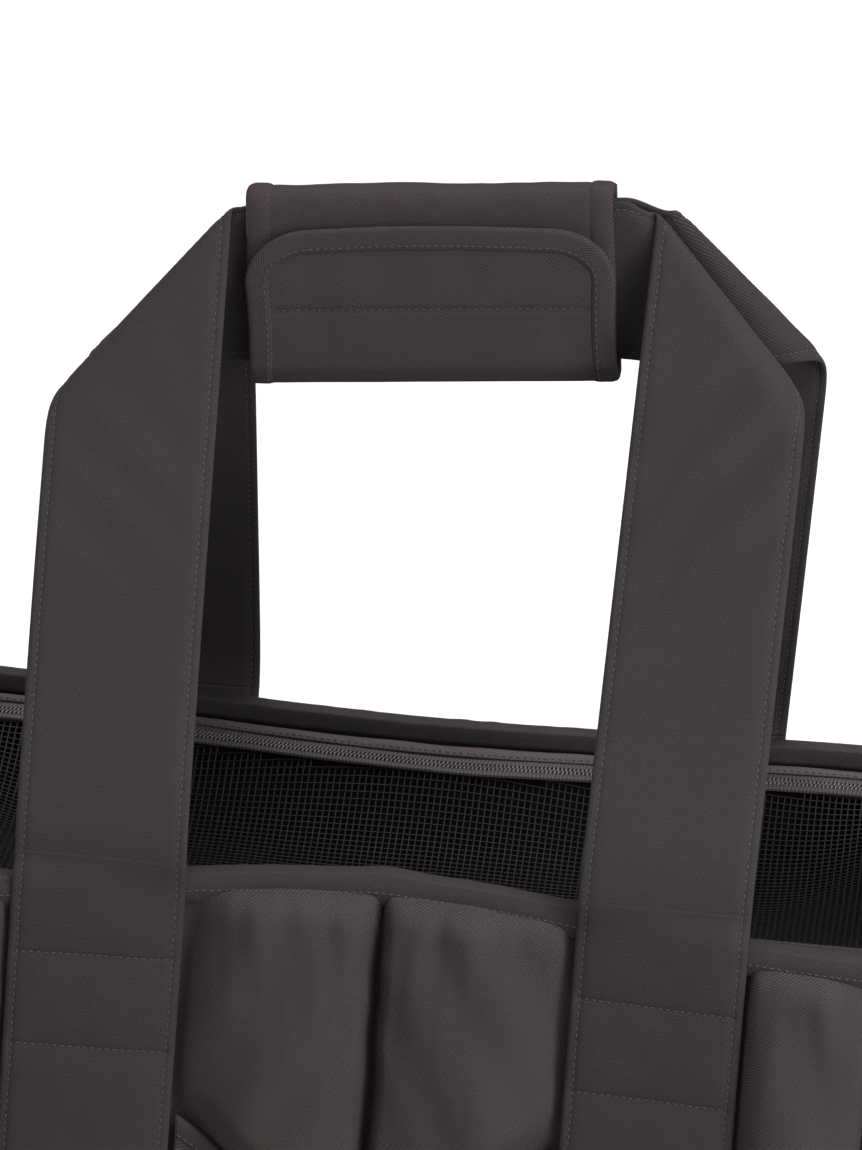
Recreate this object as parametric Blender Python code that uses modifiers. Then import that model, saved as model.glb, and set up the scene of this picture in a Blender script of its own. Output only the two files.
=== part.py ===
"""Soft-sided pet carrier: a padded fabric tote with a zipped mesh cover, two flat handles and a wrap-round grip.

Metres, +Z up. X runs along the carrier, the front is at -Y, and the carrier stands on z = 0.
"""

import math

import bmesh
import bpy
from mathutils import Matrix, Vector

GAP = 0.0003  # between pieces that touch

# Body of the carrier, measured on the middle of its walls
HALF_LENGTH = 0.212
HALF_DEPTH = 0.110
CORNER_R = 0.040
RIM_Z = 0.280
WALL_T = 0.006
BELLY = 0.004  # how far the walls swell at half height
PINCH = 0.015  # how far the handles draw the rims together
PINCH_HALF = 0.172  # the rims are drawn in between -x and +x of this
RIM_ARCH = 0.010  # the front rim drops this much from its middle to its corners
BASE_T = 0.005
PIPING_R = 0.003
BINDING_W = 0.009
BINDING_T = 0.0016

# Mesh cover, on a plane that falls a little towards its hinge at the front
HINGE_Y = -0.080
HINGE_Z = 0.262
REAR_ZIP_Y = 0.092
REAR_ZIP_Z = 0.271
ZIP_HALF_LENGTH = 0.192
ZIP_CORNER_R = 0.030
ZIP_FRONT_Y = -0.049  # front ends of the cover's coil; the slider parks before them
BODY_ZIP_FRONT_Y = -0.074
COIL_W = 0.003
COIL_T = 0.0018
TAPE_T = 0.0008
BODY_TAPE_W = 0.0055
COVER_TAPE_W = 0.0045
MESH_T = 0.0012
MESH_SAG = 0.026
FACING_T = 0.0014

# Straps and handles
STRAP_W = 0.060
STRAP_T = 0.0028
STRAP_X = 0.098
HANDLE_T = 0.0028
HANDLE_FOOT_Z = RIM_Z + 0.0034  # above the bound edge
LEG_IN_TOP = {-1: 0.076, 1: 0.070}  # inner edge of the left and right leg at the grip
GRIP_MID_Z = RIM_Z + 0.190
BAND_HALF = 0.029
BAND_Y = 0.0030  # middle of a handle inside the grip
LEG_BOW = 0.010
FOLD_DROP = 0.080  # a leg's outer edge turns in this far below its top
GRIP_HALF_LENGTH = 0.0645
GRIP_HALF_HEIGHT = 0.0335
GRIP_HALF_DEPTH = 0.0085
GRIP_T = 0.0022
FLAP_HEIGHT = 0.054
FLAP_T = 0.0024
FLAP_CORNER_R = 0.0185
TAPE_SIZE = (0.090, 0.0012, 0.020)  # hook tape and loop tape
TAPE_MID_Z = 0.002
GRIP_X = -0.005  # the grip hangs a little to the left
GRIP_TILT = math.radians(5.5)
CENTRE_SHIFT = 0.0015  # moves the finished carrier back so that its box is centred on the origin

# Front pocket
POCKET_SIDE_Z = 0.186
POCKET_DIP = 0.030
POCKET_HALF = STRAP_X - STRAP_W / 2 - 0.002
POCKET_SWELL = 0.0075

# End windows
WINDOW_Y = 0.060
WINDOW_Z = 0.055
WINDOW_MID_Z = 0.150

# Loose inside pieces
BOARD_T = 0.003
MAT_T = 0.012

# Tether
TETHER_X = -0.198
TETHER_W = 0.020
TETHER_T = 0.0016
TETHER_EYE_T = 0.0040
TETHER_TOP_Z = 0.236
EYE_Z = 0.148
HOOK_R = 0.0105
HOOK_WIRE = 0.0045

# Zip slider
SLIDER_LENGTH = 0.010
SLIDER_HALF = 0.0055  # half its width
SLIDER_ROOF_T = 0.0016
SLIDER_PARK = 0.0085  # its middle stands this far behind the front end of the body's coil
LUG_UP = 0.0052  # height of the pull's pin over the coils
LUG_R = 0.0018
LUG_HOLE_R = 0.0011
PULL_T = 0.0014
PULL_PIN_R = 0.0007
PULL_EYE = 0.0016
PULL_HALF = 0.0032
PULL_LENGTH = 0.0235

# Faces along the lines that the pieces share
LONG_STEPS = 16  # along a long wall
END_STEPS = (5, 4)  # round a corner and along the straight of an end wall
LOOP_STEPS = 2 * LONG_STEPS + 2 * (2 * END_STEPS[0] + END_STEPS[1])
ZIP_STEPS = (2, 5, 10)  # along a side run, a corner and half of the rear run

CHARCOAL = (0.050, 0.043, 0.043, 1.0)
CHARCOAL_DARK = (0.036, 0.031, 0.031, 1.0)
WEBBING = (0.055, 0.047, 0.048, 1.0)
BLACK = (0.012, 0.012, 0.012, 1.0)
STEEL = (0.55, 0.55, 0.56, 1.0)
LINING = (0.045, 0.041, 0.042, 1.0)
DARK_METAL = (0.03, 0.03, 0.03, 1.0)

parts = None
cutters = None


# ---------------------------------------------------------------- scene and helpers


def start_scene():
    """Empties the scene and makes the two collections."""
    global parts, cutters
    for old in list(bpy.data.objects):
        bpy.data.objects.remove(old, do_unlink=True)
    parts = bpy.data.collections.new("pet_carrier")
    cutters = bpy.data.collections.new("pet_carrier_cutters")
    bpy.context.scene.collection.children.link(parts)
    bpy.context.scene.collection.children.link(cutters)


def paint(obj, colour, roughness=0.85, metallic=0.0):
    """Gives an object its own material."""
    material = bpy.data.materials.new(obj.name)
    material.use_nodes = True
    shader = material.node_tree.nodes["Principled BSDF"]
    shader.inputs["Base Color"].default_value = colour
    shader.inputs["Roughness"].default_value = roughness
    shader.inputs["Metallic"].default_value = metallic
    obj.data.materials.append(material)
    return obj


def add_mesh(name, bm, collection=None):
    """Turns a bmesh into an object."""
    mesh = bpy.data.meshes.new(name)
    bm.to_mesh(mesh)
    bm.free()
    obj = bpy.data.objects.new(name, mesh)
    (collection or parts).objects.link(obj)
    return obj


def grid(across, along, place, wrap=False):
    """A sheet of across x along faces, each corner put where place(u, v) says, u and v from 0 to 1."""
    bm = bmesh.new()
    bmesh.ops.create_grid(bm, x_segments=across, y_segments=along, size=0.5)
    for vert in bm.verts:
        vert.co = Vector(place(vert.co.x + 0.5, vert.co.y + 0.5))
    if wrap:
        bmesh.ops.remove_doubles(bm, verts=bm.verts, dist=1e-6)
    bmesh.ops.recalc_face_normals(bm, faces=bm.faces)
    return bm


def thicken(obj, thickness):
    """Solidify about the middle of a sheet."""
    shell = obj.modifiers.new("thickness", "SOLIDIFY")
    shell.thickness = thickness
    shell.offset = 0.0
    shell.use_even_offset = True
    return obj


def sheet(name, across, along, place, thickness, wrap=False):
    """A sheet of one thickness."""
    obj = add_mesh(name, grid(across, along, place, wrap))
    for face in obj.data.polygons:
        face.use_smooth = True
    return thicken(obj, thickness)


def box(name, size, centre, collection=None):
    """A box given by its size and centre."""
    bm = bmesh.new()
    bmesh.ops.create_cube(bm, size=1.0)
    bmesh.ops.scale(bm, vec=Vector(size), verts=bm.verts)
    bmesh.ops.translate(bm, vec=Vector(centre), verts=bm.verts)
    return add_mesh(name, bm, collection)


def cylinder(name, radius, length, centre, axis, sides=20):
    """A cylinder along an axis."""
    bm = bmesh.new()
    bmesh.ops.create_cone(
        bm, cap_ends=True, segments=sides, radius1=radius, radius2=radius, depth=length
    )
    turn = Vector((0, 0, 1)).rotation_difference(Vector(axis)).to_matrix().to_4x4()
    bmesh.ops.transform(bm, matrix=Matrix.Translation(Vector(centre)) @ turn, verts=bm.verts)
    return add_mesh(name, bm)


def outline(name, loops, thickness, at):
    """A flat plate: closed 2D loops, the first its edge and the others its holes, centred on its own plane."""
    curve = bpy.data.curves.new(name, "CURVE")
    curve.dimensions = "2D"
    curve.fill_mode = "BOTH"
    curve.extrude = thickness / 2
    for loop in loops:
        spline = curve.splines.new("POLY")
        spline.points.add(len(loop) - 1)
        for point, (x, y) in zip(spline.points, loop):
            point.co = (x, y, 0.0, 1.0)
        spline.use_cyclic_u = True
    obj = bpy.data.objects.new(name, curve)
    obj.matrix_world = at
    parts.objects.link(obj)
    return as_mesh(obj)


def as_mesh(curve_obj):
    """The same object as a welded mesh."""
    bpy.context.view_layer.update()
    evaluated = curve_obj.evaluated_get(bpy.context.evaluated_depsgraph_get())
    mesh = bpy.data.meshes.new_from_object(evaluated)
    bm = bmesh.new()
    bm.from_mesh(mesh)
    bmesh.ops.remove_doubles(bm, verts=bm.verts, dist=1e-6)
    bm.to_mesh(mesh)
    bm.free()
    name = curve_obj.name
    matrix = curve_obj.matrix_world.copy()
    bpy.data.objects.remove(curve_obj, do_unlink=True)
    obj = bpy.data.objects.new(name, mesh)
    obj.matrix_world = matrix
    parts.objects.link(obj)
    return obj


def tube(name, points, radius, closed=False, sides=2):
    """A round wire through points."""
    curve = bpy.data.curves.new(name, "CURVE")
    curve.dimensions = "3D"
    curve.bevel_depth = radius
    curve.bevel_resolution = sides
    curve.use_fill_caps = not closed
    spline = curve.splines.new("POLY")
    spline.points.add(len(points) - 1)
    for point, place in zip(spline.points, points):
        point.co = (*place, 1.0)
    spline.use_cyclic_u = closed
    obj = bpy.data.objects.new(name, curve)
    parts.objects.link(obj)
    return as_mesh(obj)


def combine(obj, other, operation):
    """A Boolean with a helper object, which moves to the cutters."""
    cut = obj.modifiers.new(operation.lower(), "BOOLEAN")
    cut.operation = operation
    cut.object = other
    if other.name in parts.objects:
        parts.objects.unlink(other)
        cutters.objects.link(other)
    other.hide_render = True
    other.display_type = "WIRE"
    return obj


def stand_on(point, *names):
    """Puts the origin of moving pieces on their joint's axis. Their shapes stay where they are."""
    for name in names:
        obj = parts.objects[name]
        moved = obj.matrix_world.copy()
        moved.translation = Vector(point)
        obj.data.transform(moved.inverted() @ obj.matrix_world)
        obj.matrix_world = moved


def arc(cx, cy, radius, start, end, steps):
    """Points of a circle's arc, angles in degrees."""
    turns = (math.radians(start + (end - start) * k / steps) for k in range(steps + 1))
    return [(cx + radius * math.cos(t), cy + radius * math.sin(t)) for t in turns]


# ---------------------------------------------------------------- shape of the body


def fade(x, half):
    """1 in the middle, 0 from half outwards, smoothly."""
    return math.cos(math.pi * x / (2 * half)) ** 2 if abs(x) < half else 0.0


def drawn_in(x, z):
    """How far the handles draw the front or rear wall inwards."""
    return PINCH * fade(x, PINCH_HALF) * (z / RIM_Z) ** 1.5


def swell(z):
    """How far a wall swells outwards."""
    return BELLY * math.sin(math.pi * min(z / RIM_Z, 1.0))


def wall_y(x, z, side):
    """Middle of the front wall (side -1) or the rear wall (side 1)."""
    return side * (HALF_DEPTH + swell(z) - drawn_in(x, z))


def rim_z(x, y):
    """Height of the rim: level at the rear, arched at the front."""
    share = (HALF_DEPTH - y) / (2 * HALF_DEPTH)
    return RIM_Z - RIM_ARCH * (1 - fade(x, PINCH_HALF)) * min(max(share, 0.0), 1.0)


def end_wall(u, z, side, inset=0.0):
    """Middle of an end wall, from the front corner (u = 0) to the rear corner (u = 1), by its steps."""
    corner_steps, straight_steps = END_STEPS
    radius = CORNER_R - inset
    cx = HALF_LENGTH - CORNER_R
    cy = HALF_DEPTH - CORNER_R
    step = u * (2 * corner_steps + straight_steps)
    if step < corner_steps:
        turn = math.pi / 2 * step / corner_steps
        x = cx + radius * math.sin(turn)
        y = -cy - radius * math.cos(turn)
    elif step < corner_steps + straight_steps:
        x = cx + radius
        y = -cy + 2 * cy * (step - corner_steps) / straight_steps
    else:
        turn = math.pi / 2 * (step - straight_steps - corner_steps) / corner_steps
        x = cx + radius * math.cos(turn)
        y = cy + radius * math.sin(turn)
    out = swell(z)
    x += out * min(max((x - cx) / radius, 0.0), 1.0)
    y += out * min(max(abs(y) - cy, 0.0) / radius, 1.0) * (1 if y > 0 else -1)
    return side * x, y


def around(t, z, inset=0.0):
    """Point on the whole wall loop, t from 0 to 1 by its steps, starting at the left of the front wall."""
    end_steps = 2 * END_STEPS[0] + END_STEPS[1]
    half = HALF_LENGTH - CORNER_R
    step = (t % 1.0) * LOOP_STEPS
    if step < LONG_STEPS:
        x = half * (2 * step / LONG_STEPS - 1)
        return x, wall_y(x, z, -1) + inset
    step -= LONG_STEPS
    if step < end_steps:
        return end_wall(step / end_steps, z, 1, inset)
    step -= end_steps
    if step < LONG_STEPS:
        x = half * (1 - 2 * step / LONG_STEPS)
        return x, wall_y(x, z, 1) - inset
    return end_wall(1 - (step - LONG_STEPS) / end_steps, z, -1, inset)


# ---------------------------------------------------------------- body pieces


def build_base():
    steps = LOOP_STEPS
    loop = [around(k / steps, 0.0, PIPING_R + GAP) for k in range(steps)]
    at = Matrix.Translation((0, 0, BASE_T / 2))
    paint(outline("base_panel", [loop], BASE_T, at), CHARCOAL_DARK)
    ring = [(*around(k / steps, 0.0, 0.0), PIPING_R) for k in range(steps)]
    paint(tube("base_piping", ring, PIPING_R, closed=True), CHARCOAL_DARK)


def build_long_wall(name, side):
    foot = 2 * PIPING_R + GAP
    half = HALF_LENGTH - CORNER_R - GAP

    def place(u, v):
        x = (2 * u - 1) * half
        z = foot + v * (rim_z(x, side * HALF_DEPTH) - foot)
        return x, wall_y(x, z, side), z

    return paint(sheet(name, LONG_STEPS, 6, place, WALL_T), CHARCOAL)


def build_end_wall(name, side):
    foot = 2 * PIPING_R + GAP
    trim = 0.0015

    def place(u, v):
        run = trim + u * (1 - 2 * trim)
        x, y = end_wall(run, 0.0, side)
        z = foot + v * (rim_z(x, y) - foot)
        x, y = end_wall(run, z, side)
        return x, y, z

    steps = 2 * END_STEPS[0] + END_STEPS[1]
    wall = paint(sheet(name, steps, 6, place, WALL_T), CHARCOAL)
    hole = box(
        name + "_window", (0.04, 2 * WINDOW_Y, 2 * WINDOW_Z), (side * 0.214, 0, WINDOW_MID_Z), cutters
    )
    return combine(wall, hole, "DIFFERENCE")


def build_window(prefix, side):
    """Mesh and bound frame of an end window."""
    x = side * (HALF_LENGTH + BELLY)
    mesh_size = (0.0012, 2 * (WINDOW_Y - GAP), 2 * (WINDOW_Z - GAP))
    paint(box(prefix + "_vent_mesh", mesh_size, (x, 0, WINDOW_MID_Z)), BLACK, 0.7)
    wide_y = WINDOW_Y + 0.004
    wide_z = WINDOW_Z + 0.004
    thin_y = WINDOW_Y - 0.005
    thin_z = WINDOW_Z - 0.005
    edge = [(wide_y, wide_z), (-wide_y, wide_z), (-wide_y, -wide_z), (wide_y, -wide_z)]
    hole = [(thin_y, thin_z), (-thin_y, thin_z), (-thin_y, -thin_z), (thin_y, -thin_z)]
    turn = Matrix(((0, 0, 1), (1, 0, 0), (0, 1, 0))).to_4x4()
    face_x = side * (HALF_LENGTH + BELLY + WALL_T / 2 + GAP + 0.0006)
    at = Matrix.Translation((face_x, 0, WINDOW_MID_Z)) @ turn
    paint(outline(prefix + "_vent_binding", [edge, hole], 0.0012, at), CHARCOAL_DARK)


def build_rim_binding():
    """Tape folded over the top edge of all four walls, modelled as a band on their outer face and a cap."""
    outer = WALL_T / 2 + GAP + BINDING_T / 2

    def section(v):
        """Offset outwards and height above the rim, from the outer foot over the top to the inner foot."""
        top = 3 * GAP + BINDING_T / 2
        if v < 0.4:
            return outer, -BINDING_W + v / 0.4 * (BINDING_W + top)
        if v < 0.6:
            return outer - (v - 0.4) / 0.2 * 2 * outer, top
        return -outer, top - (v - 0.6) / 0.4 * (BINDING_W * 0.6 + top)

    def place(u, v):
        out, up = section(v)
        x, y = around(u, RIM_Z)
        z = rim_z(x, math.copysign(HALF_DEPTH, y) if abs(x) < HALF_LENGTH - CORNER_R else y)
        x, y = around(u, min(z, z + up), -out)
        return x, y, z + up

    paint(sheet("rim_binding", LOOP_STEPS, 5, place, BINDING_T, wrap=True), CHARCOAL_DARK)


# ---------------------------------------------------------------- cover and zip


def cover_z(y):
    """Height of the cover's plane."""
    return HINGE_Z + (REAR_ZIP_Z - HINGE_Z) * (y - HINGE_Y) / (REAR_ZIP_Y - HINGE_Y)


def zip_line(u, inset, front_y):
    """Point on the zip's line: up the right side, along the rear and down the left side, moved inwards by inset."""
    side_steps, corner_steps, rear_steps = ZIP_STEPS
    radius = ZIP_CORNER_R - inset
    side = REAR_ZIP_Y - ZIP_CORNER_R - front_y
    half = ZIP_HALF_LENGTH - ZIP_CORNER_R
    step = u * 2 * sum(ZIP_STEPS)
    left = step > sum(ZIP_STEPS)
    if left:
        step = 2 * sum(ZIP_STEPS) - step
    if step < side_steps:
        x = ZIP_HALF_LENGTH - inset
        y = front_y + side * step / side_steps
    elif step < side_steps + corner_steps:
        turn = math.pi / 2 * (step - side_steps) / corner_steps
        x = half + radius * math.cos(turn)
        y = REAR_ZIP_Y - ZIP_CORNER_R + radius * math.sin(turn)
    else:
        x = half * (1 - (step - side_steps - corner_steps) / rear_steps)
        y = REAR_ZIP_Y - inset - PINCH * fade(x, half)
    return (-x if left else x), y


def zip_strip(name, near, far, thickness, front_y):
    """A strip beside the zip's line, from inset near to inset far."""

    def place(u, v):
        x, y = zip_line(v, near + u * (far - near), front_y)
        return x, y, cover_z(y)

    return sheet(name, 1, 2 * sum(ZIP_STEPS), place, thickness)


def build_zip():
    body_coil = -GAP / 2 - COIL_W
    cover_tape = GAP / 2 + COIL_W + GAP + COVER_TAPE_W
    paint(
        zip_strip("body_zip_coil", body_coil, -GAP / 2, COIL_T, BODY_ZIP_FRONT_Y), BLACK, 0.5
    )
    paint(
        zip_strip(
            "body_zip_tape", body_coil - GAP - BODY_TAPE_W, body_coil - GAP, TAPE_T, BODY_ZIP_FRONT_Y
        ),
        CHARCOAL_DARK,
    )
    coil = zip_strip("cover_zip_coil", GAP / 2, GAP / 2 + COIL_W, COIL_T, ZIP_FRONT_Y)
    paint(coil, BLACK, 0.5)
    tape = zip_strip(
        "cover_zip_tape", GAP / 2 + COIL_W + GAP, cover_tape, TAPE_T, ZIP_FRONT_Y
    )
    paint(tape, CHARCOAL_DARK)
    for label, side in (("right", 1), ("left", -1)):
        stop = box(
            "zip_stop_" + label,
            (0.0045, 0.004, 0.003),
            (side * (ZIP_HALF_LENGTH + 0.0007), BODY_ZIP_FRONT_Y - 0.0024, cover_z(BODY_ZIP_FRONT_Y)),
        )
        paint(stop, BLACK, 0.4)


def build_facings():
    """Fabric strips that join the walls to the zip on three sides, and to the hinge hem at the front."""
    room = WALL_T / 2 + BINDING_T + GAP
    zip_edge = -(GAP / 2 + COIL_W + GAP + BODY_TAPE_W + 0.001)
    hem_y = HINGE_Y - 0.0045
    corner_x = HALF_LENGTH - CORNER_R
    corner_y = HALF_DEPTH - CORNER_R
    drop = BINDING_W * 0.6 + 0.0018

    def wall_side(u):
        """Point on the walls' inner faces opposite a point of the zip's line."""
        zx, zy = zip_line(u, zip_edge, hem_y)
        half = ZIP_HALF_LENGTH - ZIP_CORNER_R
        if zy > REAR_ZIP_Y - ZIP_CORNER_R - 1e-6 and abs(zx) > half + 1e-6:
            turn = math.atan2(zy - REAR_ZIP_Y + ZIP_CORNER_R, abs(zx) - half)
            x = corner_x + (CORNER_R - room) * math.cos(turn)
            return math.copysign(x, zx), corner_y + (CORNER_R - room) * math.sin(turn)
        if zy > REAR_ZIP_Y - ZIP_CORNER_R - 1e-6:
            return zx, wall_y(zx, RIM_Z, 1) - room
        past = max(-corner_y - zy, 0.0)
        return math.copysign(corner_x + math.sqrt((CORNER_R - room) ** 2 - past**2), zx), zy

    def place(u, v):
        zx, zy = zip_line(v, zip_edge, hem_y)
        wx, wy = wall_side(v)
        wz = rim_z(wx, wy) - drop
        zz = cover_z(zy)
        return zx + u * (wx - zx), zy + u * (wy - zy), zz + u * (wz - zz)

    paint(sheet("zip_facing", 1, 2 * sum(ZIP_STEPS), place, FACING_T), CHARCOAL)

    reach = HALF_LENGTH - CORNER_R

    def front(u, v):
        x = (2 * u - 1) * reach
        wy = wall_y(x, RIM_Z, -1) + room
        wz = rim_z(x, -HALF_DEPTH) - drop
        hz = cover_z(hem_y)
        y = hem_y - GAP - FACING_T
        return x, wy + v * (y - wy), wz + v * (hz - wz)

    paint(sheet("hinge_facing", 16, 1, front, FACING_T), CHARCOAL)


def build_cover():
    """Sagging mesh and the hem along its hinge."""
    edge_inset = GAP / 2 + COIL_W + GAP + COVER_TAPE_W + 0.0011
    half = ZIP_HALF_LENGTH - edge_inset
    radius = ZIP_CORNER_R - edge_inset
    corner_x = ZIP_HALF_LENGTH - ZIP_CORNER_R
    corner_y = REAR_ZIP_Y - ZIP_CORNER_R
    front = HINGE_Y + 0.006

    def rear_y(x):
        if abs(x) <= corner_x:
            return REAR_ZIP_Y - edge_inset - PINCH * fade(x, corner_x)
        out = min(abs(x) - corner_x, radius)
        return corner_y + math.sqrt(max(radius**2 - out**2, 0.0))

    def place(u, v):
        x = (2 * u - 1) * half
        y = front + v * (rear_y(x) - front)
        sag = MESH_SAG * (1 - (2 * u - 1) ** 6) * (1 - abs(2 * v - 1) ** 3)
        return x, y, cover_z(y) - sag

    paint(sheet("cover_mesh", 20, 8, place, MESH_T), BLACK, 0.7)

    def hem(u, v):
        x = (2 * u - 1) * half
        y = HINGE_Y + 0.0002 + v * (front - 0.0011 - HINGE_Y - 0.0002)
        return x, y, cover_z(y)

    paint(sheet("cover_hem", 12, 1, hem, 0.0016), CHARCOAL_DARK)
    stand_on((0, HINGE_Y, HINGE_Z), "cover_mesh", "cover_hem", "cover_zip_coil", "cover_zip_tape")


def slider_frame():
    """Where the parked slider stands: on the right run of the zip, its own Y along the coils."""
    y = BODY_ZIP_FRONT_Y + SLIDER_PARK
    tilt = math.atan2(REAR_ZIP_Z - HINGE_Z, REAR_ZIP_Y - HINGE_Y)
    return Matrix.Translation((ZIP_HALF_LENGTH, y, cover_z(y))) @ Matrix.Rotation(tilt, 4, "X")


def build_slider():
    """Slider that saddles both coils, with its lug, and the pull on the lug's pin."""
    at = slider_frame()
    half = SLIDER_HALF
    channel = COIL_W + 0.0006
    roof = COIL_T / 2 + 0.0005
    top = roof + SLIDER_ROOF_T
    foot = TAPE_T / 2 + GAP
    saddle = [(-half, foot), (-channel, foot), (-channel, roof), (channel, roof)]
    saddle += [(channel, foot), (half, foot), (half, top), (-half, top)]
    upright = Matrix.Rotation(math.radians(90), 4, "X")
    slider = outline("zip_slider", [saddle], SLIDER_LENGTH, at @ upright)
    lug_edge = [(-0.0022, top - 0.0004), (0.0022, top - 0.0004)]
    lug_edge += arc(0, LUG_UP, LUG_R, 0, 180, 8)
    lug_hole = arc(0, LUG_UP, LUG_HOLE_R, 0, 330, 11)
    sideways = Matrix(((0, 0, 1), (1, 0, 0), (0, 1, 0))).to_4x4()
    lug = outline("zip_slider_lug", [lug_edge, lug_hole], 0.0016, at @ sideways)
    combine(slider, lug, "UNION")
    paint(slider, DARK_METAL, 0.35, 0.6)

    eye = PULL_EYE
    outer = PULL_HALF
    throat = 0.0030
    lip = -0.0012
    fork = [(-outer, lip), (-eye, lip), (-eye, throat), (eye, throat), (eye, lip), (outer, lip)]
    fork += [(outer, PULL_LENGTH - 0.0025), (0.0020, PULL_LENGTH)]
    fork += [(-0.0020, PULL_LENGTH), (-outer, PULL_LENGTH - 0.0025)]
    slot = arc(0, 0.0165, 0.0014, 0, 330, 11)
    flat = Matrix.Translation((0, 0, LUG_UP)) @ Matrix.Rotation(math.pi, 4, "Z")
    pull = outline("zip_pull", [fork, slot], PULL_T, at @ flat)
    pin_mid = at @ Vector((0, 0, LUG_UP))
    pin = cylinder("zip_pull_pin", PULL_PIN_R, 2 * eye + 0.001, pin_mid, (1, 0, 0), 12)
    combine(pull, pin, "UNION")
    paint(pull, DARK_METAL, 0.35, 0.6)
    stand_on(pin_mid, "zip_pull")


# ---------------------------------------------------------------- straps, handles and grip


def build_sewn_strap(name, x_mid, side):
    """Strap sewn down the outside of a long wall, up to the rim."""
    foot = 0.004
    off = WALL_T / 2 + BINDING_T + 3 * GAP + STRAP_T / 2

    def place(u, v):
        x = x_mid + (u - 0.5) * STRAP_W
        z = foot + v * (HANDLE_FOOT_Z - 0.001 - foot)
        return x, wall_y(x, min(z, RIM_Z), side) + side * off, z

    return paint(sheet(name, 3, 6, place, STRAP_T), WEBBING)


def handle_y(x, z, side):
    """Middle of a handle strap: over the rim, leaning in with a slight bow, then flat inside the grip."""
    start = abs(wall_y(x, RIM_Z, 1)) + WALL_T / 2 + BINDING_T + 3 * GAP + STRAP_T / 2
    foot = HANDLE_FOOT_Z
    head = GRIP_MID_Z - BAND_HALF
    share = min(max((z - foot) / (head - foot), 0.0), 1.0)
    return side * (start + share * (BAND_Y - start) + LEG_BOW * math.sin(math.pi * share))


def build_handle(name, side):
    """One loop of flat strap: two legs with their top corners folded in, and the band that runs through the grip."""
    foot = HANDLE_FOOT_Z
    head = GRIP_MID_Z - BAND_HALF
    top = GRIP_MID_Z + BAND_HALF
    inner_foot = STRAP_X - STRAP_W / 2
    levels = [foot + (head - foot) * k / 6 for k in range(7)]
    levels += [head + (top - head) * k / 3 for k in range(1, 4)]
    turn = top - FOLD_DROP

    def inner(z, sign):
        return inner_foot + (LEG_IN_TOP[sign] - inner_foot) * min((z - foot) / (head - foot), 1.0)

    def outer(z, sign):
        share = min(max((z - turn) / (top - turn), 0.0), 1.0)
        wide = inner(z, sign) + STRAP_W
        return wide + share * (LEG_IN_TOP[sign] + 0.006 - wide)

    def tilted(x, z):
        share = min(max((z - foot) / (head - foot), 0.0), 1.0)
        return z + share**2 * math.tan(GRIP_TILT) * x

    bm = bmesh.new()
    columns = 3

    def row(z, sign):
        found = []
        for k in range(columns + 1):
            x = sign * (inner(z, sign) + (outer(z, sign) - inner(z, sign)) * k / columns)
            found.append(bm.verts.new((x, handle_y(x, z, side), tilted(x, z))))
        return found

    rows = {sign: [row(z, sign) for z in levels] for sign in (-1, 1)}
    for sign in (-1, 1):
        for low, high in zip(rows[sign], rows[sign][1:]):
            for k in range(columns):
                bm.faces.new((low[k], low[k + 1], high[k + 1], high[k]))
    for n in range(6, 9):
        left_low, left_high = rows[-1][n][0], rows[-1][n + 1][0]
        right_low, right_high = rows[1][n][0], rows[1][n + 1][0]
        bm.faces.new((left_low, right_low, right_high, left_high))
    bmesh.ops.recalc_face_normals(bm, faces=bm.faces)
    obj = add_mesh(name, bm)
    return paint(thicken(obj, HANDLE_T), WEBBING)


def grip_frame():
    """Middle of the grip, which hangs a little askew with its right end higher."""
    return Matrix.Translation((GRIP_X, 0, GRIP_MID_Z)) @ Matrix.Rotation(-GRIP_TILT, 4, "Y")


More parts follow.
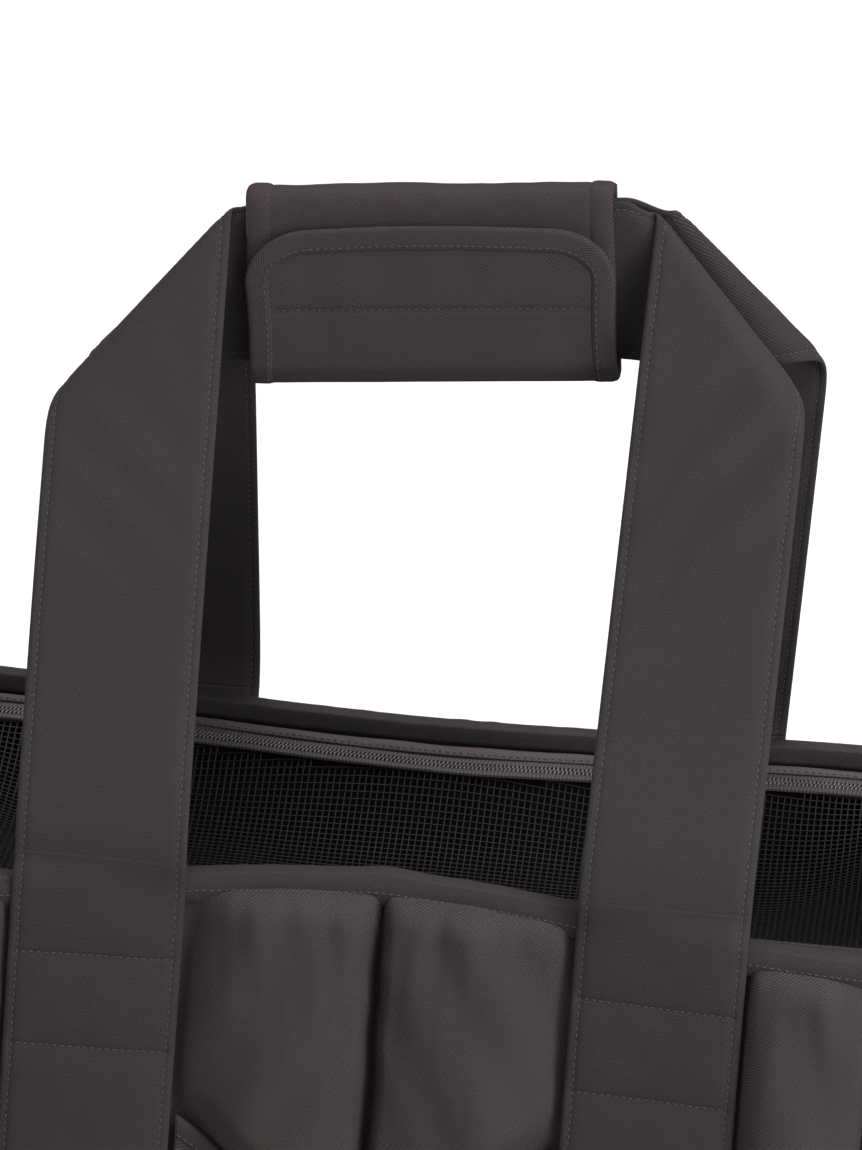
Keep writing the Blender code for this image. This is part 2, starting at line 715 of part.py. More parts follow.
def build_grip():
    at = grip_frame()
    depth = GRIP_HALF_DEPTH
    height = GRIP_HALF_HEIGHT
    corner = depth - 0.0005

    def section(v):
        """Closed loop in the Y-Z plane: a flat tube with rounded top and bottom."""
        loop = arc(0, height - corner, corner, 0, 180, 6) + arc(0, corner - height, corner, 180, 360, 6)
        spot = (v % 1.0) * len(loop)
        k = int(spot)
        y0, z0 = loop[k % len(loop)]
        y1, z1 = loop[(k + 1) % len(loop)]
        return y0 + (y1 - y0) * (spot - k), z0 + (z1 - z0) * (spot - k)

    def place(u, v):
        y, z = section(v)
        return at @ Vector(((2 * u - 1) * GRIP_HALF_LENGTH, y, z))

    wrap = sheet("grip_wrap", 4, 14, place, GRIP_T, wrap=True)
    paint(wrap, CHARCOAL)

    face = -(corner + GRIP_T / 2)
    tape_t = TAPE_SIZE[1]
    hook_y = face - GAP - tape_t / 2
    turn = Matrix.Rotation(math.radians(90), 4, "X")
    hook = box("grip_hook_tape", TAPE_SIZE, (0, 0, 0))
    hook.matrix_world = at @ Matrix.Translation((0, hook_y, TAPE_MID_Z))
    paint(hook, BLACK, 0.95)
    loop_y = hook_y - tape_t - GAP
    loop = box("flap_loop_tape", TAPE_SIZE, (0, 0, 0))
    loop.matrix_world = at @ Matrix.Translation((0, loop_y, TAPE_MID_Z))
    paint(loop, BLACK, 0.95)

    flap_y = loop_y - tape_t / 2 - GAP - FLAP_T / 2
    low = -GRIP_HALF_HEIGHT + 0.002
    high = low + FLAP_HEIGHT
    half = GRIP_HALF_LENGTH + 0.0005
    edge = [(-half, low), (half, low)]
    edge += arc(half - FLAP_CORNER_R, high - FLAP_CORNER_R, FLAP_CORNER_R, 0, 90, 6)
    edge += arc(-half + FLAP_CORNER_R, high - FLAP_CORNER_R, FLAP_CORNER_R, 90, 180, 6)
    flap = outline("grip_flap", [edge], FLAP_T, at @ Matrix.Translation((0, flap_y, 0)) @ turn)
    paint(flap, CHARCOAL)
    hinge = at @ Vector((0, flap_y, low))
    stand_on(hinge, "grip_flap", "flap_loop_tape")
    stand_on(at.translation, "grip_wrap", "grip_hook_tape")


# ---------------------------------------------------------------- pocket, inside and tether


def build_pocket():
    """Front pocket between the straps, its mouth dipping in the middle."""

    def mouth(x):
        return POCKET_SIDE_Z - POCKET_DIP * fade(x, POCKET_HALF * 1.25)

    def place(u, v):
        x = (2 * u - 1) * POCKET_HALF
        foot = 0.012
        z = foot + v * (mouth(x) - foot)
        out = 0.0022 + POCKET_SWELL * fade(x, POCKET_HALF) * math.sin(math.pi * (0.12 + 0.50 * v)) ** 0.7
        return x, wall_y(x, z, -1) - WALL_T / 2 - out, z

    paint(sheet("front_pocket", 12, 6, place, 0.0024), CHARCOAL)

    def band(u, v):
        x = (2 * u - 1) * POCKET_HALF
        y = place(u, 1.0)[1]
        return x, y, mouth(x) + GAP + 0.0002 + v * 0.004

    paint(sheet("pocket_binding", 12, 1, band, 0.0028), CHARCOAL_DARK)


def build_inside():
    """Removable board and padded mat on the base."""
    steps = 40
    room = WALL_T / 2 + 0.004
    loop = [around(k / steps, 0.0, room + PIPING_R) for k in range(steps)]
    board_z = BASE_T + GAP + BOARD_T / 2
    paint(outline("base_board", [loop], BOARD_T, Matrix.Translation((0, 0, board_z))), BLACK, 0.6)
    mat_z = board_z + BOARD_T / 2 + GAP + MAT_T / 2
    mat = outline("inner_mat", [loop], MAT_T, Matrix.Translation((0, 0, mat_z)))
    paint(mat, LINING)


def build_tether():
    """Safety strap on the left end wall, with a swivelling snap hook."""
    sideways = Matrix(((0, 0, 1), (1, 0, 0), (0, 1, 0))).to_4x4()
    apart = TETHER_EYE_T / 2 + GAP + TETHER_T / 2
    low = EYE_Z + 0.0039  # under the eye's upper bar
    back = TETHER_X - apart
    front = TETHER_X + apart
    wall = -(HALF_LENGTH + swell(0.23) - WALL_T / 2 - GAP - TETHER_T / 2)
    path = [(wall, TETHER_TOP_Z), (wall, TETHER_TOP_Z - 0.014), (back, 0.200), (back, low + 0.002)]
    path += [(TETHER_X - 0.001, low), (TETHER_X + 0.001, low), (front, low + 0.002), (front, 0.172)]

    def place(u, v):
        spot = v * (len(path) - 1)
        k = min(int(spot + 1e-6), len(path) - 2)
        (x0, z0), (x1, z1) = path[k], path[k + 1]
        share = spot - k
        return x0 + (x1 - x0) * share, (u - 0.5) * TETHER_W, z0 + (z1 - z0) * share

    paint(sheet("tether_strap", 1, len(path) - 1, place, TETHER_T), BLACK, 0.8)

    half = TETHER_W / 2 + 0.003
    rod = 0.0023
    top = 0.0085
    ring = [(-half, top), (-half, 0.0), (-0.004, -0.0045), (0.004, -0.0045), (half, 0.0), (half, top)]
    inner = half - rod
    hole = [(-inner, top - rod), (inner, top - rod), (inner, 0.0012), (0.0035, -0.0020)]
    hole += [(-0.0035, -0.0020), (-inner, 0.0012)]
    at = Matrix.Translation((TETHER_X, 0, EYE_Z)) @ sideways
    eye = outline("tether_eye", [ring, hole], TETHER_EYE_T, at)
    bore = cylinder("tether_eye_bore", 0.0014, 0.006, (TETHER_X, 0, EYE_Z - 0.0032), (0, 0, 1), 16)
    combine(eye, bore, "DIFFERENCE")
    paint(eye, STEEL, 0.3, 1.0)

    hook_z = EYE_Z - 0.0270
    opening = 60
    ring = arc(0, 0, HOOK_R + HOOK_WIRE / 2, opening, 360, 20)
    ring += list(reversed(arc(0, 0, HOOK_R - HOOK_WIRE / 2, opening, 360, 16)))
    at = Matrix.Translation((TETHER_X, 0, hook_z)) @ sideways
    hook = outline("tether_hook", [ring], 0.0042, at)
    stem_top = EYE_Z + 0.0008
    stem_foot = hook_z + HOOK_R
    stem_mid = (stem_top + stem_foot) / 2
    up = (0, 0, 1)
    stem = cylinder("tether_hook_stem", 0.0010, stem_top - stem_foot, (TETHER_X, 0, stem_mid), up, 12)
    combine(hook, stem, "UNION")
    head = cylinder("tether_hook_head", 0.0021, 0.0014, (TETHER_X, 0, EYE_Z + 0.0001), up, 12)
    combine(hook, head, "UNION")
    paint(hook, STEEL, 0.3, 1.0)

    foot = Vector((HOOK_R, 0.0012))
    tip = Vector((HOOK_R * math.cos(math.radians(48)), HOOK_R * math.sin(math.radians(48))))
    along = (tip - foot).normalized()
    across = Vector((-along.y, along.x)) * 0.0014
    gate = outline("tether_gate", [[foot - across, tip - across, tip + across, foot + across]], 0.0034, at)
    paint(gate, STEEL, 0.3, 1.0)
    stand_on(at @ Vector((foot.x, foot.y, 0)), "tether_gate")
    stand_on((TETHER_X, 0, EYE_Z), "tether_hook")


def main():
    start_scene()
    build_base()
    build_long_wall("front_wall", -1)
    build_long_wall("rear_wall", 1)
    build_end_wall("left_wall", -1)
    build_end_wall("right_wall", 1)
    build_window("left", -1)
    build_window("right", 1)
    build_rim_binding()
    build_facings()
    build_zip()
    build_cover()
    build_slider()
    for label, side in (("front", -1), ("rear", 1)):
        build_sewn_strap(label + "_left_strap", -STRAP_X, side)
        build_sewn_strap(label + "_right_strap", STRAP_X, side)
        build_handle(label + "_handle", side)
    build_grip()
    build_pocket()
    build_inside()
    build_tether()
    for obj in list(parts.objects) + list(cutters.objects):
        obj.matrix_world = Matrix.Translation((0, CENTRE_SHIFT, 0)) @ obj.matrix_world


main()
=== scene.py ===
"""Looks of a soft-sided pet carrier: twill panels, folded strap handles, a coil zip and a net cover.

Metres, +Z up, the front at -Y. Every piece stands in the place of its CAD node and rides on that node's body.
"""

import math

import bmesh
import bpy
import numpy as np
from mathutils import Matrix, Vector, noise


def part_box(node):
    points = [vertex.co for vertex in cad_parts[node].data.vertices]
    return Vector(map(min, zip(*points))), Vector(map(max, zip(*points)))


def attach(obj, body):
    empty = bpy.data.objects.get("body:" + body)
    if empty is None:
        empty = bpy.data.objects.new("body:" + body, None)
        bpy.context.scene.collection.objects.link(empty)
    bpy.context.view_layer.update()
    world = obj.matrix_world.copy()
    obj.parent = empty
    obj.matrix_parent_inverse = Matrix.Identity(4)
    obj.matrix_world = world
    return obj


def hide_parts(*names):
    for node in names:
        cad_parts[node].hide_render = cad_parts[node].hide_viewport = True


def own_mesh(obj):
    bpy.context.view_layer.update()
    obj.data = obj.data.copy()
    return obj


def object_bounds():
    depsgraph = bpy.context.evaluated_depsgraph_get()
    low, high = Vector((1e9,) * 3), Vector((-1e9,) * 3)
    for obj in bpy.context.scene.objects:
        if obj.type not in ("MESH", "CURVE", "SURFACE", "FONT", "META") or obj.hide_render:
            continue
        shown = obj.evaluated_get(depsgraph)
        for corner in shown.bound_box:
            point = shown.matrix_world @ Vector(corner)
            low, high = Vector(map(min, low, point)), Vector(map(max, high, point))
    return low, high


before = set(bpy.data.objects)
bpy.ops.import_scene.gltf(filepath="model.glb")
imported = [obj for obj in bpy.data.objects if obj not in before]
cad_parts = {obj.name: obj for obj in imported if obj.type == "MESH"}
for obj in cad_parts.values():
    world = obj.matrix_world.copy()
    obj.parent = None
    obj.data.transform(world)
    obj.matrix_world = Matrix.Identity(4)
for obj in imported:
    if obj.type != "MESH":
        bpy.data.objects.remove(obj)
cad_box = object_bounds()

# Driving dimensions of the carrier, the same as the CAD's
CENTRE_SHIFT = 0.0015
HALF_LENGTH = 0.212
HALF_DEPTH = 0.110
CORNER_R = 0.040
RIM_Z = 0.280
WALL_T = 0.006
BELLY = 0.004
PINCH = 0.015
PINCH_HALF = 0.172
RIM_ARCH = 0.010
PIPING_R = 0.003
BINDING_W = 0.009
BINDING_T = 0.0016
GAP = 0.0003
HINGE_Y = -0.080
HINGE_Z = 0.262
REAR_ZIP_Y = 0.092
REAR_ZIP_Z = 0.271
ZIP_HALF_LENGTH = 0.192
ZIP_CORNER_R = 0.030
ZIP_FRONT_Y = -0.049
BODY_ZIP_FRONT_Y = -0.074
COIL_W = 0.003
COIL_T = 0.0018
BODY_TAPE_W = 0.0055
COVER_TAPE_W = 0.0045
MESH_SAG = 0.026
STRAP_W = 0.060
STRAP_T = 0.0028
STRAP_X = 0.098
STRAP_JOIN_Z = 0.2829  # the sewn strap ends and the free handle begins here
GRIP_MID_Z = RIM_Z + 0.190
GRIP_X = -0.005  # the grip hangs a little to the left
GRIP_TILT = math.radians(5.5)
GRIP_HALF_LENGTH = 0.0645
GRIP_HALF_HEIGHT = 0.0335
GRIP_HALF_DEPTH = 0.0085
TAPE_HALF = 0.045
TAPE_W = 0.020
TAPE_MID_Z = 0.002
POCKET_SIDE_Z = 0.193
POCKET_DIP = 0.046
POCKET_HALF = STRAP_X - STRAP_W / 2 - 0.002
POCKET_SWELL = 0.0075
WINDOW_Y = 0.060
WINDOW_Z = 0.055
WINDOW_MID_Z = 0.150
TETHER_X = -0.198
TETHER_W = 0.020
TETHER_T = 0.0016
EYE_Z = 0.148
TETHER_TOP_Z = 0.236
STEPS_LONG = 16
STEPS_CORNER = 5
STEPS_END = 4
LOOP_STEPS = 2 * STEPS_LONG + 2 * (2 * STEPS_CORNER + STEPS_END)

# Sewing
STITCH_PITCH = 0.0026
STITCH_LENGTH = 0.0019
STITCH_R = 0.00026
EDGE_SEAM = 0.0032  # stitches run this far inside a strap's edge
STITCH_LIFT = np.array([-0.00022, 0.00008, 0.00014, 0.00008, -0.00022])  # off the cloth, along a stitch
STITCH_HALF = STITCH_R * np.array([0.55, 0.95, 1.0, 0.95, 0.55])  # half thickness along it
CROSS_ROWS = (0.248, 0.215)  # heights of the two rows that hold a strap's end

# Cloth and net
STRAP_OFF = WALL_T / 2 + BINDING_T + 3 * GAP + STRAP_T / 2 + 0.0004  # from a wall's middle to its straps'
SKIN_IN = 0.0004  # the padded skin starts this far inside a wall's CAD face
WALL_FOOT = 2 * PIPING_R + GAP
PANEL_END = HALF_LENGTH - CORNER_R
CORNER_Y = HALF_DEPTH - CORNER_R
FACING_HALF_T = (0.0007, 0.0006)  # above and below its middle
VENT_LAP = 0.002  # the vent nets reach this far under their frames
VENT_PITCH = 0.0023
VENT_STRAND_R = 0.00042
VENT_BULGE = 0.0018
COVER_PITCH = 0.00235
COVER_STRAND_R = 0.0005
COIL_PITCH = 0.0015
COIL_WIRE_R = 0.00042


# ---------------------------------------------------------------- small tools


def ease(t):
    """Smooth step from 0 to 1."""
    t = np.clip(t, 0.0, 1.0)
    return t * t * (3 - 2 * t)


def bump_noise(point, size, seed=0.0):
    """Smooth noise from -1 to 1 whose humps are about one size across."""
    return noise.noise(Vector(point) / size + Vector((seed, 2 * seed, -seed)))


def grid(place, us, vs):
    """Points place(u, v) for every u and v, as an array."""
    return np.array([[place(u, v) for v in vs] for u in us], float)


def unit(vectors):
    """The same vectors, each of length 1."""
    return vectors / np.maximum(np.linalg.norm(vectors, axis=-1, keepdims=True), 1e-12)


def shares(count):
    """Evenly spaced numbers from 0 to 1."""
    return np.linspace(0, 1, count)


def spread(stops, counts):
    """Numbers from stop to stop, with this many even steps between each two."""
    runs = [np.linspace(a, b, count + 1)[1:] for a, b, count in zip(stops, stops[1:], counts)]
    return np.concatenate([stops[:1], *runs])


def closed(rows):
    """The same rows, with the first one again at the end."""
    return np.concatenate([rows, rows[:1]])


def quads_of(number):
    """Faces between the neighbours in a grid of point numbers."""
    corners = [number[..., :-1, :-1], number[..., 1:, :-1], number[..., 1:, 1:], number[..., :-1, 1:]]
    return np.stack(corners, -1).reshape(-1, 4)


def border(number):
    """Point numbers once round the edge of a grid, back to the first."""
    return np.concatenate([number[:, 0], number[-1, 1:], number[::-1, -1][1:], number[0, ::-1][1:]])


def rounded(across, height, power, least, softness=0.5):
    """Heights of a band's profile: full in the middle, low at both edges."""
    return height * np.clip(1 - np.abs(2 * across - 1) ** power, least, 1.0) ** softness


def normals_of(points, wrap=False):
    """Unit normals of a grid of points: along u cross along v."""
    du = np.roll(points, -1, 0) - np.roll(points, 1, 0) if wrap else np.gradient(points, axis=0)
    return unit(np.cross(du, np.gradient(points, axis=1)))


def arc_length(line):
    """Distance along a line of points, at each of them."""
    return np.concatenate([[0.0], np.cumsum(np.linalg.norm(np.diff(line, axis=0), axis=1))])


def along(line, distances):
    """Points of a line, or of values that go with it, at these distances."""
    line = np.asarray(line, float)
    run = arc_length(line[:, :3])
    return np.stack([np.interp(distances, run, line[:, k]) for k in range(line.shape[1])], 1)


def add_object(name, data, matrix=None):
    """A new object in the scene."""
    obj = bpy.data.objects.new(name, data)
    if matrix is not None:
        obj.matrix_world = matrix
    bpy.context.scene.collection.objects.link(obj)
    return obj


class Piece:
    """Gathers the shapes of one visible piece, which stands in for the CAD node of its name."""

    def __init__(self, name, *looks):
        self.name = name
        self.materials = [LOOKS[look] for look in looks]
        self.points, self.faces, self.uvs, self.slots, self.smooth = [], [], [], [], []
        self.count = 0

    def add(self, points, faces, uv=None, slot=0, smooth=True):
        """Adds a shape. uv holds a texture point for each of its points; smooth is for all faces or each."""
        points = np.asarray(points, float).reshape(-1, 3)
        self.points.append(points)
        self.uvs.append(np.zeros((len(points), 2)) if uv is None else np.asarray(uv, float).reshape(-1, 2))
        self.more_faces(np.asarray(faces, int) + self.count, slot, smooth)
        self.count += len(points)

    def more_faces(self, faces, slot=0, smooth=True):
        """Adds faces that join points already added."""
        self.faces.append(faces)
        self.slots.append(np.full(len(faces), slot))
        self.smooth.append(np.broadcast_to(smooth, (len(faces),)))

    def slab(self, points, above, below, under=0, wrap=False, rows=(), within=slice(None)):
        """A closed skin round a sheet, its half thicknesses above and below numbers or grids.

        under is the material of its lower face, and rows are the columns of the grid that get stitches.
        """
        nu, nv = points.shape[:2]
        total = nu * nv
        normals = normals_of(points, wrap)
        top = points + normals * np.broadcast_to(above, (nu, nv))[..., None]
        bottom = points - normals * np.broadcast_to(below, (nu, nv))[..., None]
        number = np.arange(total).reshape(nu, nv)
        quads = quads_of(closed(number) if wrap else number)
        run = np.zeros((nu, nv, 2))
        for axis in (0, 1):
            step = np.linalg.norm(np.diff(points, axis=axis, prepend=points.take([0], axis)), axis=2)
            run[..., axis] = np.cumsum(step, axis).mean(1 - axis, keepdims=True)
        edges = [closed(number[:, -1]), closed(number[:, 0])[::-1]] if wrap else [border(number)[::-1]]
        sides = [np.stack([e[:-1], e[1:], e[1:] + total, e[:-1] + total], -1) for e in edges]
        lower = quads[:, ::-1] + total + self.count
        faces = np.concatenate([quads, *sides])
        self.add([top, bottom], faces, [run, run], 0, np.arange(len(faces)) < len(quads))
        self.more_faces(lower, under)
        for row in rows:
            self.stitches(top[within, row], normals[within, row])
        return top, normals

    def tube(self, line, radius, sides, loop=False, flat=1.0, up=(0.0, 0.0, 1.0)):
        """A wire along a line, squeezed by flat in the direction of up. One of four sides has closed ends."""
        ahead = unit(np.roll(line, -1, 0) - np.roll(line, 1, 0) if loop else np.gradient(line, axis=0))
        side = unit(np.cross(ahead, np.broadcast_to(up, line.shape)))
        rise = np.cross(side, ahead)
        turns = 2 * np.pi * np.arange(sides) / sides
        rings = [line + radius * (math.cos(t) * side + flat * math.sin(t) * rise) for t in turns]
        number = closed(np.arange(len(line) * sides).reshape(-1, sides).T).T
        quads = quads_of(closed(number) if loop else number)[:, ::-1]
        if sides == 4 and not loop:
            quads = np.concatenate([quads, number[:1, :4], number[-1:, 3::-1]])
        run, turn = np.meshgrid(arc_length(line), turns * radius, indexing="ij")
        self.add(np.stack(rings, 1), quads, np.stack([run, turn], -1))

    def stitches(self, line, normals):
        """A row of stitches, each a short thread that dips into the cloth at both ends."""
        length = arc_length(line)[-1]
        count = max(int(length / STITCH_PITCH), 1)
        starts = (length - count * STITCH_PITCH) / 2 + STITCH_PITCH * np.arange(count)
        starts += (STITCH_PITCH - STITCH_LENGTH) / 2
        where = starts[:, None] + STITCH_LENGTH * shares(len(STITCH_LIFT))
        both = np.concatenate([line, np.broadcast_to(normals, line.shape)], 1)
        spots = along(both, where.ravel()).reshape(count, -1, 6)
        out = unit(spots[..., 3:])
        middle = spots[..., :3] + out * STITCH_LIFT[:, None]
        side = unit(np.cross(np.gradient(middle, axis=1), out))
        turns = 2 * np.pi * np.arange(6) / 6
        rings = [middle + STITCH_HALF[:, None] * (math.cos(t) * side + math.sin(t) * out) for t in turns]
        points = np.stack(rings, 2)
        number = np.arange(points[..., 0].size).reshape(points.shape[:3])
        number = np.concatenate([number, number[..., :1]], 2)
        self.add(points, quads_of(number)[:, ::-1], None, 1)

    def build(self, body, slot_name):
        """Makes the object, in the place of its CAD node, and lets it ride on a body."""
        points = np.concatenate(self.points)
        points[:, 1] += CENTRE_SHIFT
        mesh = bpy.data.meshes.new(self.name + "_sewn")
        mesh.from_pydata(points, [], np.concatenate(self.faces))
        mesh.validate(clean_customdata=False)
        layer = mesh.uv_layers.new(name="cloth")
        corner = np.zeros(len(mesh.loops), np.int64)
        mesh.loops.foreach_get("vertex_index", corner)
        layer.data.foreach_set("uv", np.concatenate(self.uvs)[corner].astype(np.float32).ravel())
        for material in self.materials:
            mesh.materials.append(material)
        slots = np.concatenate(self.slots).astype(np.int32)
        if len(slots) == len(mesh.polygons):
            mesh.polygons.foreach_set("material_index", slots)
            mesh.polygons.foreach_set("use_smooth", np.concatenate(self.smooth))
        mesh.update()
        obj = add_object(self.name + "_sewn", mesh)
        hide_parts(self.name)
        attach(obj, body)
        return obj


# ---------------------------------------------------------------- materials


def srgb(red, green, blue):
    """A colour given by its 8-bit display values."""
    values = [c / 255 for c in (red, green, blue)]
    linear = [c / 12.92 if c <= 0.04045 else ((c + 0.055) / 1.055) ** 2.4 for c in values]
    return (*linear, 1.0)


class Look:
    """A material and the few node recipes that the pieces share."""

    def __init__(self, name, roughness, specular, metallic=0.0, sheen=0.0):
        self.material = bpy.data.materials.new(name)
        self.material.use_nodes = True
        self.nodes = self.material.node_tree.nodes
        self.links = self.material.node_tree.links
        self.shader = self.nodes["Principled BSDF"]
        values = {"Roughness": roughness, "Specular IOR Level": specular, "Metallic": metallic}
        values.update({"Sheen Weight": sheen, "Sheen Roughness": 0.45})
        for key, value in values.items():
            self.shader.inputs[key].default_value = value

    def node(self, kind, **values):
        """A new node, its properties and its inputs set by name."""
        made = self.nodes.new(kind)
        for key, value in values.items():
            if hasattr(made, key) and key not in made.inputs:
                setattr(made, key, value)
            else:
                made.inputs[key.replace("_", " ")].default_value = value
        return made

    def place(self, kind, scale, turn=0.0):
        """Texture coordinates, scaled and turned."""
        source = self.node("ShaderNodeTexCoord")
        mapping = self.node("ShaderNodeMapping", Scale=(scale, scale, scale), Rotation=(0.0, 0.0, turn))
        self.links.new(source.outputs[kind], mapping.inputs["Vector"])
        return mapping.outputs["Vector"]

    def bands(self, pitch, turn, distortion=0.0):
        """Parallel threads of one pitch, as a value from 0 to 1."""
        wave = self.node("ShaderNodeTexWave", wave_type="BANDS", Scale=1.0, Distortion=distortion, Detail=1.0)
        wave.bands_direction = "X"
        # a wave texture repeats every pi/10 of its own units
        self.links.new(self.place("UV", math.pi / 10 / pitch, turn), wave.inputs["Vector"])
        return wave.outputs["Fac"]

    def noise(self, size, detail=2.0, kind="Object"):
        """Noise of one hump size."""
        made = self.node("ShaderNodeTexNoise", Scale=1.0, Detail=detail)
        self.links.new(self.place(kind, 1.0 / size), made.inputs["Vector"])
        return made.outputs["Fac"]

    def math(self, operation, first, second):
        """The result of an operation on two values or numbers."""
        made = self.node("ShaderNodeMath", operation=operation)
        for socket, value in zip(made.inputs, (first, second)):
            if isinstance(value, (int, float)):
                socket.default_value = value
            else:
                self.links.new(value, socket)
        return made.outputs["Value"]

    def ramp(self, value, low, high, start=0.0, end=1.0):
        """Two colours by a value."""
        made = self.node("ShaderNodeValToRGB")
        made.color_ramp.elements[0].color = low
        made.color_ramp.elements[1].color = high
        made.color_ramp.elements[0].position = start
        made.color_ramp.elements[1].position = end
        self.links.new(value, made.inputs["Fac"])
        return made.outputs["Color"]

    def mix(self, share, first, second, blend="MIX"):
        """Mixes two colours."""
        made = self.node("ShaderNodeMix", data_type="RGBA", blend_type=blend)
        colour_inputs = [s for s in made.inputs if s.type == "RGBA"]
        for socket, value in zip([made.inputs["Factor"], *colour_inputs], (share, first, second)):
            if isinstance(value, (int, float, tuple)):
                socket.default_value = value
            else:
                self.links.new(value, socket)
        return [s for s in made.outputs if s.type == "RGBA"][0]

    def colour(self, socket):
        """Sets the colour of the material."""
        self.links.new(socket, self.shader.inputs["Base Color"])

    def bump(self, height, distance, strength):
        """Bump from a height value, distance in metres."""
        made = self.node("ShaderNodeBump", Strength=strength, Distance=distance)
        self.links.new(height, made.inputs["Height"])
        self.links.new(made.outputs["Normal"], self.shader.inputs["Normal"])

    def follow(self, value, colours, span, depth, strength):
        """Colour and bump that both follow one value, and the finished material."""
        self.colour(self.ramp(value, *colours, *span))
        self.bump(value, depth, strength)
        return self.material


def scaled(colour, share):
    """A colour made darker or lighter."""
    return (*[min(c * share, 1.0) for c in colour[:3]], 1.0)


def shades(base, *levels):
    """Darker and lighter versions of a colour."""
    return [scaled(base, share) for share in levels]


def twill(name, base, turn=58, pitch=0.00085):
    """Fine twill: slanting ridges, crossed by threads, with a heathered and slightly worn colour."""
    look = Look(name, roughness=0.80, specular=0.16)
    ridges = look.bands(pitch, math.radians(turn), distortion=0.6)
    threads = look.bands(pitch * 0.62, math.radians(turn) + math.radians(75), distortion=1.2)
    weave = look.math("ADD", look.math("MULTIPLY", ridges, 0.62), look.math("MULTIPLY", threads, 0.38))
    heather = look.noise(0.0007, 3.0, "UV")
    cloudy = look.noise(0.035, 3.0)
    shade = look.math("ADD", look.math("MULTIPLY", weave, 0.50), look.math("MULTIPLY", heather, 0.50))
    fine = look.ramp(shade, *shades(base, 0.42, 1.66), 0.28, 0.72)
    warm = look.mix(cloudy, (0.93, 0.94, 0.96, 1.0), (1.08, 1.03, 1.05, 1.0))
    look.colour(look.mix(1.0, fine, warm, "MULTIPLY"))
    height = look.math("ADD", weave, look.math("MULTIPLY", heather, 0.5))
    look.bump(height, 0.00012, 0.75)
    return look.material


def webbing(name, base):
    """Narrow woven tape: ribs across and a fine weave along."""
    look = Look(name, roughness=0.78, specular=0.28)
    ribs = look.bands(0.0014, 0.0)
    weave = look.bands(0.0011, math.radians(90), distortion=0.8)
    both = look.math("ADD", look.math("MULTIPLY", ribs, 0.6), look.math("MULTIPLY", weave, 0.4))
    return look.follow(both, shades(base, 0.6, 1.3), (0.2, 0.9), 0.00025, 0.8)


def thread(name, base):
    """Sewing thread, twisted."""
    look = Look(name, roughness=0.65, specular=0.35)
    return look.follow(look.noise(0.0006), shades(base, 0.7, 1.4), (0.3, 0.75), 0.0001, 0.6)


def coated_net(name, base):
    """Vinyl-coated yarn of the net."""
    look = Look(name, roughness=0.5, specular=0.14)
    return look.follow(look.noise(0.0015), shades(base, 0.7, 1.4), (0.3, 0.75), 0.00008, 0.5)


def moulded(name, base, roughness, metallic=0.0, grain_size=0.0008):
    """Moulded plastic or cast metal with a fine grain and slight smudges."""
    look = Look(name, roughness=roughness, specular=0.45, metallic=metallic)
    grain = look.noise(grain_size, 3.0)
    smudge = look.noise(0.012, 2.0)
    look.colour(look.ramp(smudge, *shades(base, 0.8, 1.2), 0.3, 0.7))
    rough = look.node("ShaderNodeMapRange", To_Min=roughness * 0.8, To_Max=min(roughness * 1.3, 1.0))
    look.links.new(smudge, rough.inputs["Value"])
    look.links.new(rough.outputs["Result"], look.shader.inputs["Roughness"])
    look.bump(grain, 0.00004, 0.5)
    return look.material


def pile(name, base, size):
    """Hook or loop tape: a dense pile of little loops."""
    look = Look(name, roughness=0.95, specular=0.1, sheen=0.3)
    cells = look.node("ShaderNodeTexVoronoi", Scale=1.0)
    look.links.new(look.place("Object", 1.0 / size), cells.inputs["Vector"])
    return look.follow(cells.outputs["Distance"], shades(base, 1.5, 0.5), (0.1, 0.8), 0.0006, 0.9)


LOOKS = {}


def make_looks():
    """All materials of the carrier."""
    recipes = {
        "panel": (twill, "panel_twill", (42, 38, 38)),
        "strap": (twill, "strap_twill", (37, 34, 34), 32),
        "wrap": (twill, "wrap_twill", (42, 37, 39), 50),
        "binding": (twill, "bias_binding", (37, 34, 34), 8, 0.0007),
        # The facings' twill is lighter than the panels': painted light that makes up for the shade the
        # facings lie in inside the rim
        "facing": (twill, "facing_twill", (60, 55, 56)),
        # The lining's own dark colour is darkened further: painted shade for the inside of the carrier under
        # the net, on the walls' inner faces and the mat
        "lining": (twill, "lining_twill", (16, 15, 16), 58, 0.0006),
        "thread": (thread, "thread", (48, 42, 44)),
        "net": (coated_net, "coated_net", (5, 5, 5)),
        "coil": (moulded, "zip_coil_nylon", (66, 62, 63), 0.40),
        "tape": (webbing, "zip_tape_weave", (52, 48, 49)),
        "tether": (webbing, "tether_webbing", (40, 38, 38)),
        "hooks": (pile, "hook_tape_pile", (36, 34, 34), 0.0011),
        "loops": (pile, "loop_tape_pile", (42, 39, 40), 0.0007),
        "painted": (moulded, "painted_zinc", (58, 55, 56), 0.38, 0.5),
        "steel": (moulded, "plated_steel", (196, 197, 200), 0.28, 1.0, 0.002),
        "board": (moulded, "fibre_board", (40, 39, 39), 0.7, 0.0, 0.0014),
        "base": (webbing, "base_cloth", (42, 39, 40)),
    }
    for key, (recipe, name, colour, *more) in recipes.items():
        LOOKS[key] = recipe(name, srgb(*colour), *more)


# ---------------------------------------------------------------- shape of the body, as in the CAD


def fade(x, half):
    """1 in the middle, 0 from half outwards, smoothly."""
    return math.cos(math.pi * x / (2 * half)) ** 2 if abs(x) < half else 0.0


def swell(z):
    """How far a wall swells outwards."""
    return BELLY * math.sin(math.pi * min(max(z / RIM_Z, 0.0), 1.0))


def wall_y(x, z, side):
    """Middle of the front wall (side -1) or the rear wall (side 1)."""
    share = min(max(z / RIM_Z, 0.0), 1.0)
    return side * (HALF_DEPTH + swell(z) - PINCH * fade(x, PINCH_HALF) * share**1.5)


